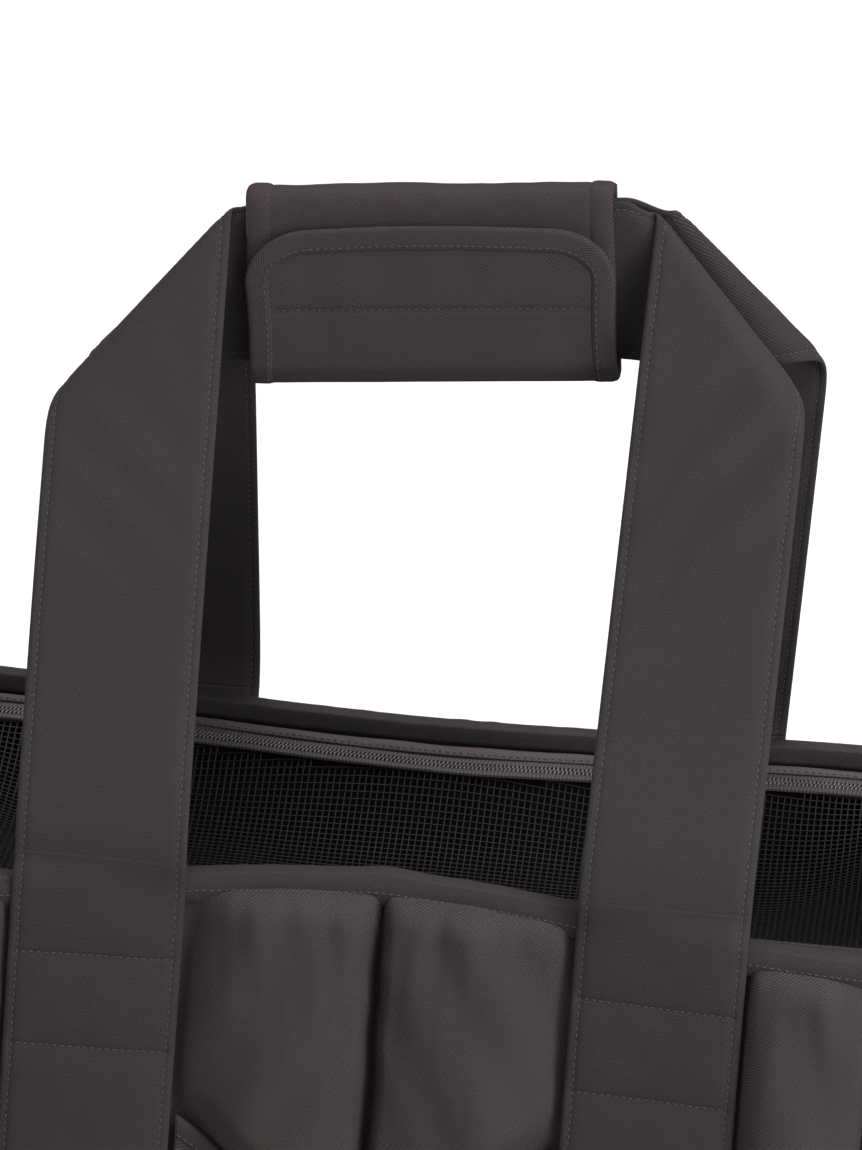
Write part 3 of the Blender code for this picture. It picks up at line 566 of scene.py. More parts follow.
def rim_z(x, y):
    """Height of the rim: level at the rear, arched at the front."""
    share = (HALF_DEPTH - y) / (2 * HALF_DEPTH)
    return RIM_Z - RIM_ARCH * (1 - fade(x, PINCH_HALF)) * min(max(share, 0.0), 1.0)


def end_wall(u, z, side, inset=0.0):
    """Middle of an end wall, from the front corner (u = 0) to the rear corner (u = 1)."""
    radius = CORNER_R - inset
    cx, cy = PANEL_END, CORNER_Y
    step = u * (2 * STEPS_CORNER + STEPS_END)
    if step < STEPS_CORNER:
        turn = math.pi / 2 * step / STEPS_CORNER
        x = cx + radius * math.sin(turn)
        y = -cy - radius * math.cos(turn)
    elif step < STEPS_CORNER + STEPS_END:
        x = cx + radius
        y = -cy + 2 * cy * (step - STEPS_CORNER) / STEPS_END
    else:
        turn = math.pi / 2 * (step - STEPS_END - STEPS_CORNER) / STEPS_CORNER
        x = cx + radius * math.cos(turn)
        y = cy + radius * math.sin(turn)
    out = swell(z)
    x += out * min(max((x - cx) / radius, 0.0), 1.0)
    y += out * min(max(abs(y) - cy, 0.0) / radius, 1.0) * (1 if y > 0 else -1)
    return side * x, y


def around(t, z, inset=0.0):
    """Point on the whole wall loop, t from 0 to 1, starting at the left of the front wall."""
    end_steps = 2 * STEPS_CORNER + STEPS_END
    step = (t % 1.0) * LOOP_STEPS
    if step < STEPS_LONG:
        x = PANEL_END * (2 * step / STEPS_LONG - 1)
        return x, wall_y(x, z, -1) + inset
    step -= STEPS_LONG
    if step < end_steps:
        return end_wall(step / end_steps, z, 1, inset)
    step -= end_steps
    if step < STEPS_LONG:
        x = PANEL_END * (1 - 2 * step / STEPS_LONG)
        return x, wall_y(x, z, 1) - inset
    return end_wall(1 - (step - STEPS_LONG) / end_steps, z, -1, inset)


def rim_at(t):
    """Height of the rim at t on the wall loop."""
    x, y = around(t, RIM_Z)
    return rim_z(x, math.copysign(HALF_DEPTH, y) if abs(x) < PANEL_END else y)


def cover_z(y):
    """Height of the cover's plane."""
    return HINGE_Z + (REAR_ZIP_Z - HINGE_Z) * (y - HINGE_Y) / (REAR_ZIP_Y - HINGE_Y)


def zip_line(u, inset, front_y):
    """Point on the zip's line: up the right side, along the rear and down the left side, moved inwards."""
    parts = (2, 5, 10)
    radius = ZIP_CORNER_R - inset
    side = REAR_ZIP_Y - ZIP_CORNER_R - front_y
    half = ZIP_HALF_LENGTH - ZIP_CORNER_R
    step = u * 2 * sum(parts)
    left = step > sum(parts)
    if left:
        step = 2 * sum(parts) - step
    if step < parts[0]:
        x = ZIP_HALF_LENGTH - inset
        y = front_y + side * step / parts[0]
    elif step < parts[0] + parts[1]:
        turn = math.pi / 2 * (step - parts[0]) / parts[1]
        x = half + radius * math.cos(turn)
        y = REAR_ZIP_Y - ZIP_CORNER_R + radius * math.sin(turn)
    else:
        x = half * (1 - (step - parts[0] - parts[1]) / parts[2])
        y = REAR_ZIP_Y - inset - PINCH * fade(x, half)
    return (-x if left else x), y


# ---------------------------------------------------------------- walls


STRAP_SEAM = STRAP_X - STRAP_W / 2 - 0.0015
OUTER_SEAM = STRAP_X + STRAP_W / 2 + 0.0015
PUFF = 0.0190
CREASE_ROUND = 0.0062  # distance over which the padding rises from the crease down the middle
SEAM_ROUND = 0.030  # and from a strap's edge
CORNER_ROUND = 0.030  # and from a corner of the carrier


def quarter(distance, reach):
    """Rise of a round shoulder: 0 at no distance, 1 from reach onwards."""
    left = 1.0 - min(max(distance / reach, 0.0), 1.0)
    return math.sqrt(1.0 - left * left)


def puff(x, z, foot, top, height):
    """How far the padding stands out: full between the seams, nothing on them, flat under the straps."""
    x += 0.0014 * bump_noise((0.0, 0.0, z), 0.020, 2.2) * math.exp(-((x / 0.02) ** 2))
    off = abs(x)
    if STRAP_SEAM <= off <= OUTER_SEAM or off >= PANEL_END:
        across = 0.03 if off < PANEL_END else 0.0
    elif off < STRAP_SEAM:
        round_over = 0.62 + 0.38 * math.sin(math.pi * (off / STRAP_SEAM) ** 0.8)
        across = quarter(off, CREASE_ROUND) * quarter(STRAP_SEAM - off, SEAM_ROUND) * round_over
    else:
        across = quarter(off - OUTER_SEAM, 0.014) * quarter(PANEL_END - off, CORNER_ROUND) * 0.72
    high = min(max((z - foot) / (top - foot), 0.0), 1.0)
    up = quarter(z - foot, 0.030) * quarter(top - z, 0.012) * (0.80 + 0.20 * math.sin(math.pi * high))
    return height * across * up - 0.0020 * math.exp(-((x / 0.0022) ** 2)) * quarter(top - z, 0.004)


def wrinkles(x, z, top):
    """Gathers that fan out of a sewn edge and die away from it, and slanting pulls across a panel."""
    depth = max(top - z, 0.0)
    fan = bump_noise((x, 0.22 * z, 0), 0.0062, 3.1) + 0.6 * bump_noise((x, 0.1 * z, 0), 0.013, 8.1)
    near = math.exp(-depth / 0.020) * (1 - math.exp(-depth / 0.004))
    slant = 0.55 * z * (1 if x > 0 else -1)
    pull = bump_noise((x + slant, (z - x) * 0.22, 0), 0.019, 5.3) * 0.0030
    slow = bump_noise((x, z * 0.6, 0), 0.012, 1.7) * 0.0004
    return 0.0026 * fan * near + pull + slow


def build_long_wall(name, side):
    """Front or rear wall: a padded outer skin with a deep crease down its middle, and a plain lining."""
    piece = Piece(name, "panel", "lining")

    def middle(u, v):
        x = (2 * u - 1) * PANEL_END
        z = WALL_FOOT + v * (rim_z(x, side * HALF_DEPTH) - WALL_FOOT)
        return x, wall_y(x, z, side), z

    us = spread((0.0, 0.465, 0.535, 1.0), (89, 48, 89))  # closer columns at the crease

    def padding(x, z):
        """How far the outer skin stands off; behind the pocket it lies almost flat."""
        top = rim_z(x, side * HALF_DEPTH) - BINDING_W * 0.5
        full = PUFF
        if side < 0 and abs(x) < STRAP_X:
            full -= (PUFF - 0.0020) * ease((pocket_mouth(x) + 0.020 - z) / 0.020)
        inside = puff(x, z, WALL_FOOT, top, full)
        return inside + wrinkles(x, z, top) * min(max(inside, 0.0) / 0.004, 1.0)

    points = grid(middle, us, shares(141))
    out = np.array([[padding(x, z) for x, _, z in column] for column in points])
    if side > 0:
        points, out = points[::-1], out[::-1]
    piece.slab(points, WALL_T / 2 - SKIN_IN + out, WALL_T / 2, under=1)
    piece.build("bag", "twill")


def build_end_wall(name, side):
    """End wall round both corners, padded round a window."""
    piece = Piece(name, "panel", "lining")
    corner = STEPS_CORNER / (2 * STEPS_CORNER + STEPS_END)
    window = corner + (1 - WINDOW_Y / CORNER_Y) / 2 * (1 - 2 * corner)
    sill, head = WINDOW_MID_Z - WINDOW_Z, WINDOW_MID_Z + WINDOW_Z
    first, last = 35, 75  # rows and columns of the grid at the window's edges
    us = spread((0.0, window, 1 - window, 1.0), (first, last - first, 35))
    zs = spread((WALL_FOOT, sill, head, RIM_Z), (first, last - first, 30))

    def middle(u, z):
        high = rim_z(*end_wall(u, 0.0, side))
        if z > head:
            z = head + (z - head) * (high - head) / (RIM_Z - head)
        return *end_wall(u, z, side), z

    def padding(u, x, y, z):
        to_window = max(abs(y) - WINDOW_Y if abs(x) > 0.2 else 0.05, abs(z - WINDOW_MID_Z) - WINDOW_Z, 0.0)
        edge = min(u / 0.10, (1 - u) / 0.10, (z - WALL_FOOT) / 0.03, (RIM_Z - 0.008 - z) / 0.03)
        near = min(max(min(edge, to_window / 0.012), 0.0), 1.0)
        return 0.0042 * math.sin(math.pi / 2 * near) + bump_noise((y, z, x), 0.03, 4.4) * 0.0008 * near

    points = grid(middle, us, zs)
    away = normals_of(points) * side
    out = np.array([[padding(u, *point) for point in column] for u, column in zip(us, points)])
    number = np.arange(out.size).reshape(out.shape)
    quads = quads_of(number)
    hole = np.zeros((len(us) - 1, len(zs) - 1), bool)
    hole[first:last, first:last] = True
    keep = quads[~hole.ravel()]
    loops = (border(number), border(number[first : last + 1, first : last + 1])[::-1])
    sides = [np.stack([e[:-1], e[:-1] + out.size, e[1:] + out.size, e[1:]], -1) for e in loops]
    run = np.stack(np.meshgrid(us * 0.28, zs, indexing="ij"), -1)
    skin = points + away * (WALL_T / 2 - SKIN_IN + out)[..., None]
    piece.add([skin, points - away * WALL_T / 2], np.concatenate([keep, *sides])[:, ::side], [run, run])
    piece.more_faces(keep[:, ::-side] + out.size, 1)
    piece.build("bag", "twill")


def build_window(prefix, side):
    """Net and bound frame of an end window."""
    x = side * (HALF_LENGTH + BELLY)
    net = Piece(prefix + "_vent_mesh", "net")
    halves = (WINDOW_Y + VENT_LAP, WINDOW_Z + VENT_LAP)
    for held, free in ((0, 1), (1, 0)):
        count = int(2 * halves[held] / VENT_PITCH)
        run = np.linspace(-halves[free], halves[free], 28)
        for k in range(count + 1):
            spot = (k / count - 0.5) * 2 * halves[held]
            dome = np.cos(np.pi / 2 * run / halves[free]) * math.cos(math.pi / 2 * spot / halves[held])
            line = np.zeros((len(run), 3))
            line[:, 0] = x + side * VENT_BULGE * dome
            line[:, 1 + held], line[:, 1 + free] = spot, run
            net.tube(line + (0, 0, WINDOW_MID_Z), VENT_STRAND_R, 4, up=(1.0, 0.0, 0.0))
    net = net.build("bag", "mesh")

    binding = Piece(prefix + "_vent_binding", "binding", "thread")
    radius, width, lap = 0.014, 0.010, 0.0045
    face_x = x + side * (WALL_T / 2 + 0.0004)

    def ring(inset):
        """Evenly spaced points round the frame, this far inside its outer edge."""
        line = []
        for across, up, start in ((1, 1, 0), (-1, 1, 90), (-1, -1, 180), (1, -1, 270)):
            for turn in np.radians(start + np.linspace(0, 90, 13)):
                y = across * (WINDOW_Y + lap - radius) + math.cos(turn) * (radius - inset)
                z = up * (WINDOW_Z + lap - radius) + math.sin(turn) * (radius - inset)
                line.append((face_x, y, z))
        line = closed(np.array(line))
        return along(line, np.linspace(0, arc_length(line)[-1], 241)[:-1]) + (0, 0, WINDOW_MID_Z)

    points = np.stack([ring(width * share) for share in shares(9)], 1)[::-side]
    profile = rounded(shares(9), 0.0009, 6, 0.15, 1.0)[None, :]
    top, normals = binding.slab(points, profile, profile, wrap=True)
    binding.stitches(closed(top[:, 6]), normals[0, 6])
    binding.build("bag", "dark_binding")


def build_base():
    """Piping round the base seam."""
    piping = Piece("base_piping", "binding")
    line = np.array([(*around(t, 0.0), PIPING_R) for t in shares(361)[:-1]])
    piping.tube(line, PIPING_R, 12, loop=True)
    piping.build("bag", "dark_binding")


def build_rim_binding():
    """Tape folded over the top edge of all four walls, stitched near its lower edge."""
    piece = Piece("rim_binding", "binding", "thread")
    ts = shares(601)[:-1]
    outer = WALL_T / 2 + GAP + BINDING_T
    foot = -BINDING_W
    inner_foot = -BINDING_W * 0.6
    # offset outwards and height over the rim, round the tape's outline from its outer foot to its inner foot
    turns = np.radians(np.linspace(0, 180, 11))
    over = [(outer * math.cos(t), 0.0012 * math.sin(t) ** 0.7 + 0.0006) for t in turns]
    outline = [(outer - 0.0008, foot), (outer - 0.0001, foot + 0.0004), (outer, foot + 0.0012)]
    outline += [(outer + 0.0013 * math.sin(math.pi * k / 6) ** 0.6, foot * (1 - k / 6)) for k in (2, 3, 4, 5)]
    outline += over
    outline += [(-outer, inner_foot * k / 4) for k in (1, 2, 3, 4)] + [(-outer + 0.0012, inner_foot)]
    rings = []
    for t in ts:
        z = rim_at(t)
        x, y = around(t, RIM_Z)
        pucker = 0.00035 * bump_noise((x, y, 0), 0.006, 7.0) + 0.0004 * bump_noise((x, y, 1), 0.03, 2.0)
        peak = 0.0013 * math.exp(-((x / 0.011) ** 2)) if y < 0 else 0.0
        ring = []
        for out, up in outline:
            px, py = around(t, min(z, z + up), -(out + math.copysign(pucker, out)))
            ring.append((px, py, z + up + 0.6 * pucker + peak * min(max(1 + up / BINDING_W, 0), 1)))
        rings.append(ring)
    points = np.array(rings)
    number = np.arange(points[..., 0].size).reshape(points.shape[:2])
    run, rise = np.meshgrid(arc_length(points[:, 3]), arc_length(points[0]), indexing="ij")
    piece.add(points, quads_of(closed(closed(number).T).T), np.stack([run, rise], -1))
    away = np.zeros((len(ts), 3))
    away[:, :2] = [np.subtract(around(t, RIM_Z, -1.0), around(t, RIM_Z)) for t in ts]
    piece.stitches(closed(points[:, 4]), closed(away))
    piece.build("bag", "dark_binding")


# ---------------------------------------------------------------- facings, zip and net cover


def build_facings():
    """Cloth strips between the walls and the zip, and between the front wall and the cover's hinge."""
    room = WALL_T / 2 + BINDING_T + GAP
    zip_edge = -(GAP / 2 + COIL_W + GAP + BODY_TAPE_W + 0.001)
    hem_y = HINGE_Y - 0.0045
    corner = CORNER_R - room
    drop = BINDING_W * 0.6 + 0.0018

    def wall_side(u):
        """Point on the walls' inner faces opposite a point of the zip's line."""
        zx, zy = zip_line(u, zip_edge, hem_y)
        half = ZIP_HALF_LENGTH - ZIP_CORNER_R
        if zy > REAR_ZIP_Y - ZIP_CORNER_R - 1e-6 and abs(zx) > half + 1e-6:
            turn = math.atan2(zy - REAR_ZIP_Y + ZIP_CORNER_R, abs(zx) - half)
            return math.copysign(PANEL_END + corner * math.cos(turn), zx), CORNER_Y + corner * math.sin(turn)
        if zy > REAR_ZIP_Y - ZIP_CORNER_R - 1e-6:
            return zx, wall_y(zx, RIM_Z, 1) - room
        past = max(-CORNER_Y - zy, 0.0)
        return math.copysign(PANEL_END + math.sqrt(corner**2 - past**2), zx), zy

    def place(v, u):
        zx, zy = zip_line(v, zip_edge + 0.0018, hem_y)
        wx, wy = wall_side(v)
        wz = rim_z(wx, wy) - drop
        zz = cover_z(zy)
        billow = 0.0012 * math.sin(math.pi * u)
        billow += 0.0008 * bump_noise((zx, zy, u * 0.01), 0.022, 9.1) * u * (1 - u) * 4
        x, y, z = zx + u * (wx - zx), zy + u * (wy - zy), zz + u * (wz - zz) + billow
        return x, y, z + 0.0006 * (1 - u)

    piece = Piece("zip_facing", "facing", "thread")
    piece.slab(grid(place, shares(321), shares(13))[::-1], *FACING_HALF_T, rows=[2])
    piece.build("bag", "facing")

    def front(u, v):
        x = (2 * u - 1) * PANEL_END
        wy = wall_y(x, RIM_Z, -1) + room
        wz = rim_z(x, -HALF_DEPTH) - drop
        hz = cover_z(hem_y)
        y = hem_y - GAP - 0.0014
        return x, wy + v * (y - wy), wz + v * (hz - wz) + 0.0008 * math.sin(math.pi * v)

    piece = Piece("hinge_facing", "facing", "thread")
    piece.slab(grid(front, shares(161), shares(9)), *FACING_HALF_T, rows=[6])
    piece.build("bag", "facing")


def zip_z(x, y):
    """Height of the zip, with the slight waves that its tape pulls into it."""
    return cover_z(y) + 0.0005 * bump_noise((x, y, 0), 0.030, 6.2)


def build_coil(name, body, inner, outer, front_y, shift):
    """Nylon coil: a wire wound flat, one turn for each tooth."""
    each = 12  # points in a turn
    middle = np.array([(*zip_line(u, (inner + outer) / 2, front_y), 0.0) for u in shares(801)])
    middle = along(middle, np.arange(0, arc_length(middle)[-1], COIL_PITCH / each))
    middle[:, 2] = [zip_z(x, y) for x, y, _ in middle]
    ahead = unit(np.gradient(middle, axis=0))
    side = np.stack([ahead[:, 1], -ahead[:, 0], np.zeros(len(ahead))], 1)
    turn = 2 * np.pi * (np.arange(len(middle)) / each + shift)
    across = np.sign(np.cos(turn)) * np.abs(np.cos(turn)) ** 0.6
    rise = np.sign(np.sin(turn)) * np.abs(np.sin(turn)) ** 0.8
    line = middle + side * (((outer - inner) / 2 - COIL_WIRE_R * 0.4) * across)[:, None]
    line[:, 2] += (COIL_T / 2 - COIL_WIRE_R * 0.5) * rise
    piece = Piece(name, "coil")
    piece.tube(line, COIL_WIRE_R, 6)
    piece.build(body, "zip_coil")


def build_zip_tape(name, body, near, far, front_y):
    """Woven tape of the zip, with the row of stitches that holds it."""
    piece = Piece(name, "tape", "thread")

    def place(u, v):
        x, y = zip_line(u, near + v * (far - near), front_y)
        return x, y, zip_z(x, y)

    points = grid(place, shares(401), shares(6))
    if far < near:
        points = points[::-1]
    piece.slab(points[:, ::-1], 0.0004, 0.0004, rows=[1])
    piece.build(body, "zip_tape")


def build_zip():
    """Both halves of the zip: coils that mesh half a turn apart, and their tapes."""
    body_coil = -GAP / 2 - COIL_W
    build_coil("body_zip_coil", "bag", body_coil, -GAP / 2, BODY_ZIP_FRONT_Y, 0.0)
    build_coil("cover_zip_coil", "cover", GAP / 2, GAP / 2 + COIL_W, ZIP_FRONT_Y, 0.5)
    build_zip_tape("body_zip_tape", "bag", body_coil - GAP, body_coil - GAP - BODY_TAPE_W, BODY_ZIP_FRONT_Y)
    near = GAP / 2 + COIL_W + GAP
    build_zip_tape("cover_zip_tape", "cover", near, near + COVER_TAPE_W, ZIP_FRONT_Y)


def build_cover():
    """Net cover of real strands, sagging between the zip and its hinge, and the hem along the hinge."""
    edge_inset = GAP / 2 + COIL_W + GAP + COVER_TAPE_W - 0.0012
    half = ZIP_HALF_LENGTH - edge_inset
    radius = ZIP_CORNER_R - edge_inset
    corner_x = ZIP_HALF_LENGTH - ZIP_CORNER_R
    corner_y = REAR_ZIP_Y - ZIP_CORNER_R
    front = HINGE_Y + 0.0045
    pitch = COVER_PITCH
    side_gap = 0.0006  # from the net's left edge to its first strand

    def rear_y(x):
        if abs(x) <= corner_x:
            return REAR_ZIP_Y - edge_inset - PINCH * fade(x, corner_x)
        out = min(abs(x) - corner_x, radius)
        return corner_y + math.sqrt(max(radius**2 - out**2, 0.0))

    def net_z(x, y):
        u = x / half
        v = (y - front) / (rear_y(x) - front)
        sag = MESH_SAG * (1 - u**6) * (1 - abs(2 * v - 1) ** 3)
        wave = 0.0020 * bump_noise((x, y, 0), 0.05, 8.8) * (1 - abs(2 * v - 1))
        return cover_z(y) - sag - 0.0006 + wave

    piece = Piece("cover_mesh", "net")

    def strand(spots):
        """One strand over the knots of the net at these places."""
        if len(spots) > 2:
            piece.tube(np.array([(x, y, net_z(x, y)) for x, y in spots]), COVER_STRAND_R, 4, flat=0.6)

    for k in range(int(2 * half / pitch) + 1):
        x = -half + k * pitch + side_gap
        if x < half:
            strand([(x, y) for y in np.arange(front, rear_y(x), pitch)])
    for k in range(int((REAR_ZIP_Y - edge_inset - front) / pitch) + 1):
        y = front + k * pitch
        runs = [[]]
        for x in np.arange(-half + side_gap, half, pitch):
            if rear_y(x) > y:
                runs[-1].append((x, y))
            elif runs[-1]:
                runs.append([])
        for run in runs:
            strand(run)
    net = piece.build("cover", "mesh")
    flat = (2 * half, rear_y(0.0) - front + 0.010)  # 10 mm more than the opening, for the sag

    hem = Piece("cover_hem", "binding", "thread")

    def place(u, v):
        return (2 * u - 1) * half, HINGE_Y + 0.0002 + v * 0.0062, cover_z(HINGE_Y + v * 0.006)

    hem.slab(grid(place, shares(201), shares(7)), 0.0010, 0.0010, rows=[4])
    hem.build("cover", "dark_binding")


# ---------------------------------------------------------------- straps and handles


def strap_profile():
    """Half thickness across a strap: rounded edges, and a groove along each seam."""
    half = rounded(ACROSS, STRAP_T / 2, 14, 0.0025)
    for spot in (EDGE_SEAM / STRAP_W, 1 - EDGE_SEAM / STRAP_W):
        half -= 0.00045 * np.exp(-(((ACROSS - spot) * STRAP_W / 0.0009) ** 2))
    return np.maximum(half, 0.0)[:, None]


# Shares of a strap's width, closer at its edges and seams
EDGE_SHARES = np.array([0.0, 0.004, 0.012, 0.024, 0.038, 0.048, 0.053, 0.058, 0.068, 0.085])
ACROSS = np.concatenate([EDGE_SHARES, np.linspace(0.12, 0.88, 20), 1 - EDGE_SHARES[::-1]])
SEAM_COLUMNS = (6, len(ACROSS) - 7)


def upright_end(x, z, side):
    """Wall position under a sewn strap, which leaves the wall and ends upright at the rim."""
    leave = 0.262
    if z <= leave:
        return wall_y(x, z, side)
    reach = STRAP_JOIN_Z - leave
    t = min((z - leave) / reach, 1.0)
    slope = (wall_y(x, leave, side) - wall_y(x, leave - 0.001, side)) / 0.001 * reach
    start, end = wall_y(x, leave, side), wall_y(x, RIM_Z, side)
    return start + (end - start) * t * t * (3 - 2 * t) + slope * t * (1 - t) ** 2


def build_sewn_strap(name, x_mid, side):
    """Strap sewn down a long wall: two rows of stitches along it and two across its free end."""
    piece = Piece(name, "strap", "thread")
    zs = np.unique(np.concatenate([
        np.linspace(0.004, 0.205, 60),
        np.linspace(0.205, STRAP_JOIN_Z + 0.0006, 66),  # runs a little into the handle
        *[[row - 0.0006, row, row + 0.0006] for row in CROSS_ROWS],
    ]))

    def place(share, z):
        x = x_mid + (share - 0.5) * STRAP_W
        sewn = min(abs(z - row) for row in CROSS_ROWS)
        sag = 0.0010 * (1 - math.exp(-((sewn / 0.006) ** 2))) * math.sin(math.pi * share) ** 0.5
        soft = 0.0009 * bump_noise((x, z * 0.5, side), 0.035, 1.9)
        soft += 0.0004 * bump_noise((x, z, side), 0.012, 4.9)
        calm = float(ease((STRAP_JOIN_Z - z) / 0.012))
        y = upright_end(x_mid + (x - x_mid) * calm, z, side)
        return x, y + side * (STRAP_OFF + (sag + soft) * calm), z

    half = strap_profile() * np.ones((1, len(zs)))
    for row in CROSS_ROWS:
        half -= 0.00050 * np.exp(-(((zs - row) / 0.0010) ** 2)) * (np.abs(ACROSS - 0.5) < 0.47)[:, None]
    half = np.maximum(half, 0.00005)
    top, normals = piece.slab(grid(place, ACROSS, zs)[::-side], half, half)
    for column in SEAM_COLUMNS:
        piece.stitches(top[column], normals[column])
    inside = slice(SEAM_COLUMNS[0], SEAM_COLUMNS[1] + 1)
    for row in CROSS_ROWS:
        k = int(np.argmin(np.abs(zs - row)))
        piece.stitches(top[inside, k], normals[inside, k])
    piece.build("bag", "webbing")


# A leg leans in as a flat strip up to the grip, where it folds back over a slanting line and runs on
# through the grip. The fold is a narrow cone whose tip lies just past the leg's inner top corner.
LEAN = math.radians(29)
FOLD_ANGLE = math.atan2(0.084, STRAP_W)  # of the fold, from straight across the strap
CONE = math.radians(6)
TIP_IN = 0.008
TIP_UP = TIP_IN * math.tan(FOLD_ANGLE)
APEX_Y = 0.0045
APEX = {-1: (0.0775, 0.4965), 1: (0.0715, 0.4935)}  # x and level height of a leg's inner top corner
REAR_SHIFT = 0.006  # the rear handle's corners stand this much farther right
BAND_Y = 0.0030
BAND_HALF = STRAP_W / 2
FOOT_LAG = 0.017


class Fold:
    """One leg of a handle with its fold: maps a place on the flat strap to the folded strap."""

    def __init__(self, sign, side):
        self.sign = sign
        self.side = side
        apex_x, apex_z = APEX[sign]
        if side > 0:
            apex_x += sign * REAR_SHIFT
        self.out = np.array([1.0, 0.0, 0.0])
        self.up = np.array([0.0, math.sin(LEAN), math.cos(LEAN)])
        self.face = np.array([0.0, -math.cos(LEAN), math.sin(LEAN)])
        self.apex = np.array([apex_x, -APEX_Y, apex_z])
        start = wall_y(STRAP_X, RIM_Z, 1) + STRAP_OFF
        foot = np.array([apex_x, -start, STRAP_JOIN_Z])
        self.length = float((self.apex - foot) @ self.up)
        self.dip = float((self.apex - foot) @ self.face)
        self.splay = apex_x - (STRAP_X - STRAP_W / 2)
        self.bend = 3 * self.dip / self.length
        first = math.cos(FOLD_ANGLE) * self.out - math.sin(FOLD_ANGLE) * self.up
        self.round = math.sin(FOLD_ANGLE) * self.out + math.cos(FOLD_ANGLE) * self.up
        self.axis = math.cos(CONE) * first - math.sin(CONE) * self.face
        self.front = math.sin(CONE) * first + math.cos(CONE) * self.face
        self.second = math.cos(CONE) * self.axis - math.sin(CONE) * self.front
        self.band_angle = FOLD_ANGLE - math.pi * math.sin(CONE)

    def bow(self, below):
        """How far the leg stands off its flat plane, this far below its top."""
        share = min(max(below, 0.0) / self.length, 1.0)
        rest = max(self.length - below, 0.0)
        lag = math.tan(LEAN - math.atan(self.bend)) * rest * math.exp(-rest / FOOT_LAG)
        return -self.dip * share**3 + lag

    def point(self, run, across):
        """Place of a strap point: run along the strap from the foot, across from its inner edge."""
        below = self.length - run
        rise, width = -(below + TIP_UP), across + TIP_IN
        reach = math.hypot(rise, width)
        angle = math.atan2(-rise, width)
        tip = self.apex - TIP_IN * self.out + TIP_UP * self.up
        if angle >= FOLD_ANGLE:
            spot = tip + reach * (math.cos(angle) * self.out - math.sin(angle) * self.up)
            depth = below
        elif angle >= self.band_angle:
            turn = (FOLD_ANGLE - angle) / math.sin(CONE)
            ray = math.cos(turn) * self.front + math.sin(turn) * self.round
            spot = tip + reach * (math.cos(CONE) * self.axis + math.sin(CONE) * ray)
            depth = reach * math.sin(FOLD_ANGLE) - TIP_UP
        else:
            turn = self.band_angle - angle
            spot = tip + reach * (math.cos(turn) * self.second - math.sin(turn) * self.round)
            depth = reach * math.sin(FOLD_ANGLE) - TIP_UP
        depth = max(depth, 0.0)
        spot = spot + self.bow(depth) * self.face
        spot[0] -= self.splay * min(depth / self.length, 1.0)
        if angle < self.band_angle:
            past = reach * math.sin(self.band_angle - angle)
            room = max(spot[0] - GRIP_HALF_LENGTH - self.sign * GRIP_X, 0.0)
            share = float(ease(past / max(past + room * 0.8, 1e-9)))
            flat_z = GRIP_MID_Z + BAND_HALF - across * (2 * BAND_HALF - 0.003) / STRAP_W
            level = np.array([spot[0], -BAND_Y, flat_z])
            spot = spot * (1 - share) + level * share
        return spot

    def place(self, run, across):
        """The same point on this side of the carrier, tilted with the grip."""
        spot = self.point(run, across)
        x, y, z = self.sign * spot[0], -self.side * spot[1], spot[2]
        drape = self.drape(x, z, across)
        share = min(max((z - STRAP_JOIN_Z) / (GRIP_MID_Z - BAND_HALF - STRAP_JOIN_Z), 0.0), 1.0)
        return x, y + self.side * drape, z + share**2 * math.tan(GRIP_TILT) * x

    def drape(self, x, z, across):
        """Soft slanting folds below the grip, and the slight waves of the cloth."""
        below = self.apex[2] - z
        calm = float(ease((z - STRAP_JOIN_Z) / 0.020))
        slant = (abs(x) - 0.07) * 0.75 + below
        strength = 0.0020 if self.sign > 0 else 0.0005
        wave = math.sin(2 * math.pi * slant / 0.030 + 1.5 * bump_noise((x, 0, z), 0.05, self.side))
        near = math.exp(-((below - 0.085) / 0.040) ** 2) * math.sin(math.pi * across / STRAP_W)
        soft = 0.0011 * bump_noise((x, self.side, z * 0.6), 0.045, 2.7)
        return (strength * wave * near + soft) * calm


def build_handle(name, side):
    """One loop of flat strap: two legs, each folded over at its top, and the bands inside the grip."""
    piece = Piece(name, "strap", "thread")
    for sign in (-1, 1):
        fold = Fold(sign, side)
        top_run = fold.length + TIP_UP + 0.062
        runs = spread((0.0, 0.012, fold.length - 0.1, top_run), (15, 59, 129))
        points = grid(lambda share, run: fold.place(run, share * STRAP_W), ACROSS, runs)[:: -sign * side]
        half = strap_profile()[:: -sign * side]
        top, normals = piece.slab(points, half, half)
        under = points - normals * half[..., None]
        for column in SEAM_COLUMNS:
            piece.stitches(top[column], normals[column])
            piece.stitches(under[column], -normals[column])
    obj = piece.build("bag", "webbing")
    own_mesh(obj)


# ---------------------------------------------------------------- grip


# The middle of the grip, tilted a little, its right end higher
GRIP_FRAME = Matrix.Translation((GRIP_X, 0, GRIP_MID_Z)) @ Matrix.Rotation(-GRIP_TILT, 4, "Y")
FLAP_LOW = -GRIP_HALF_HEIGHT + 0.0005
FLAP_TOP = -GRIP_HALF_HEIGHT + 0.002 + 0.0535
FLAP_HALF = GRIP_HALF_LENGTH + 0.0005
FLAP_R = (0.0235, 0.0185)
FLAP_Y = -0.0136
WRAP_HEM = 0.0082
# Distances from an end of the wrap, closer at its edge and at its hem
WRAP_END = np.array([0, 0.0002, 0.0008, 0.002, 0.004, 0.0060, 0.0072, 0.0078, 0.0082, 0.0086, 0.0092, 0.0105])


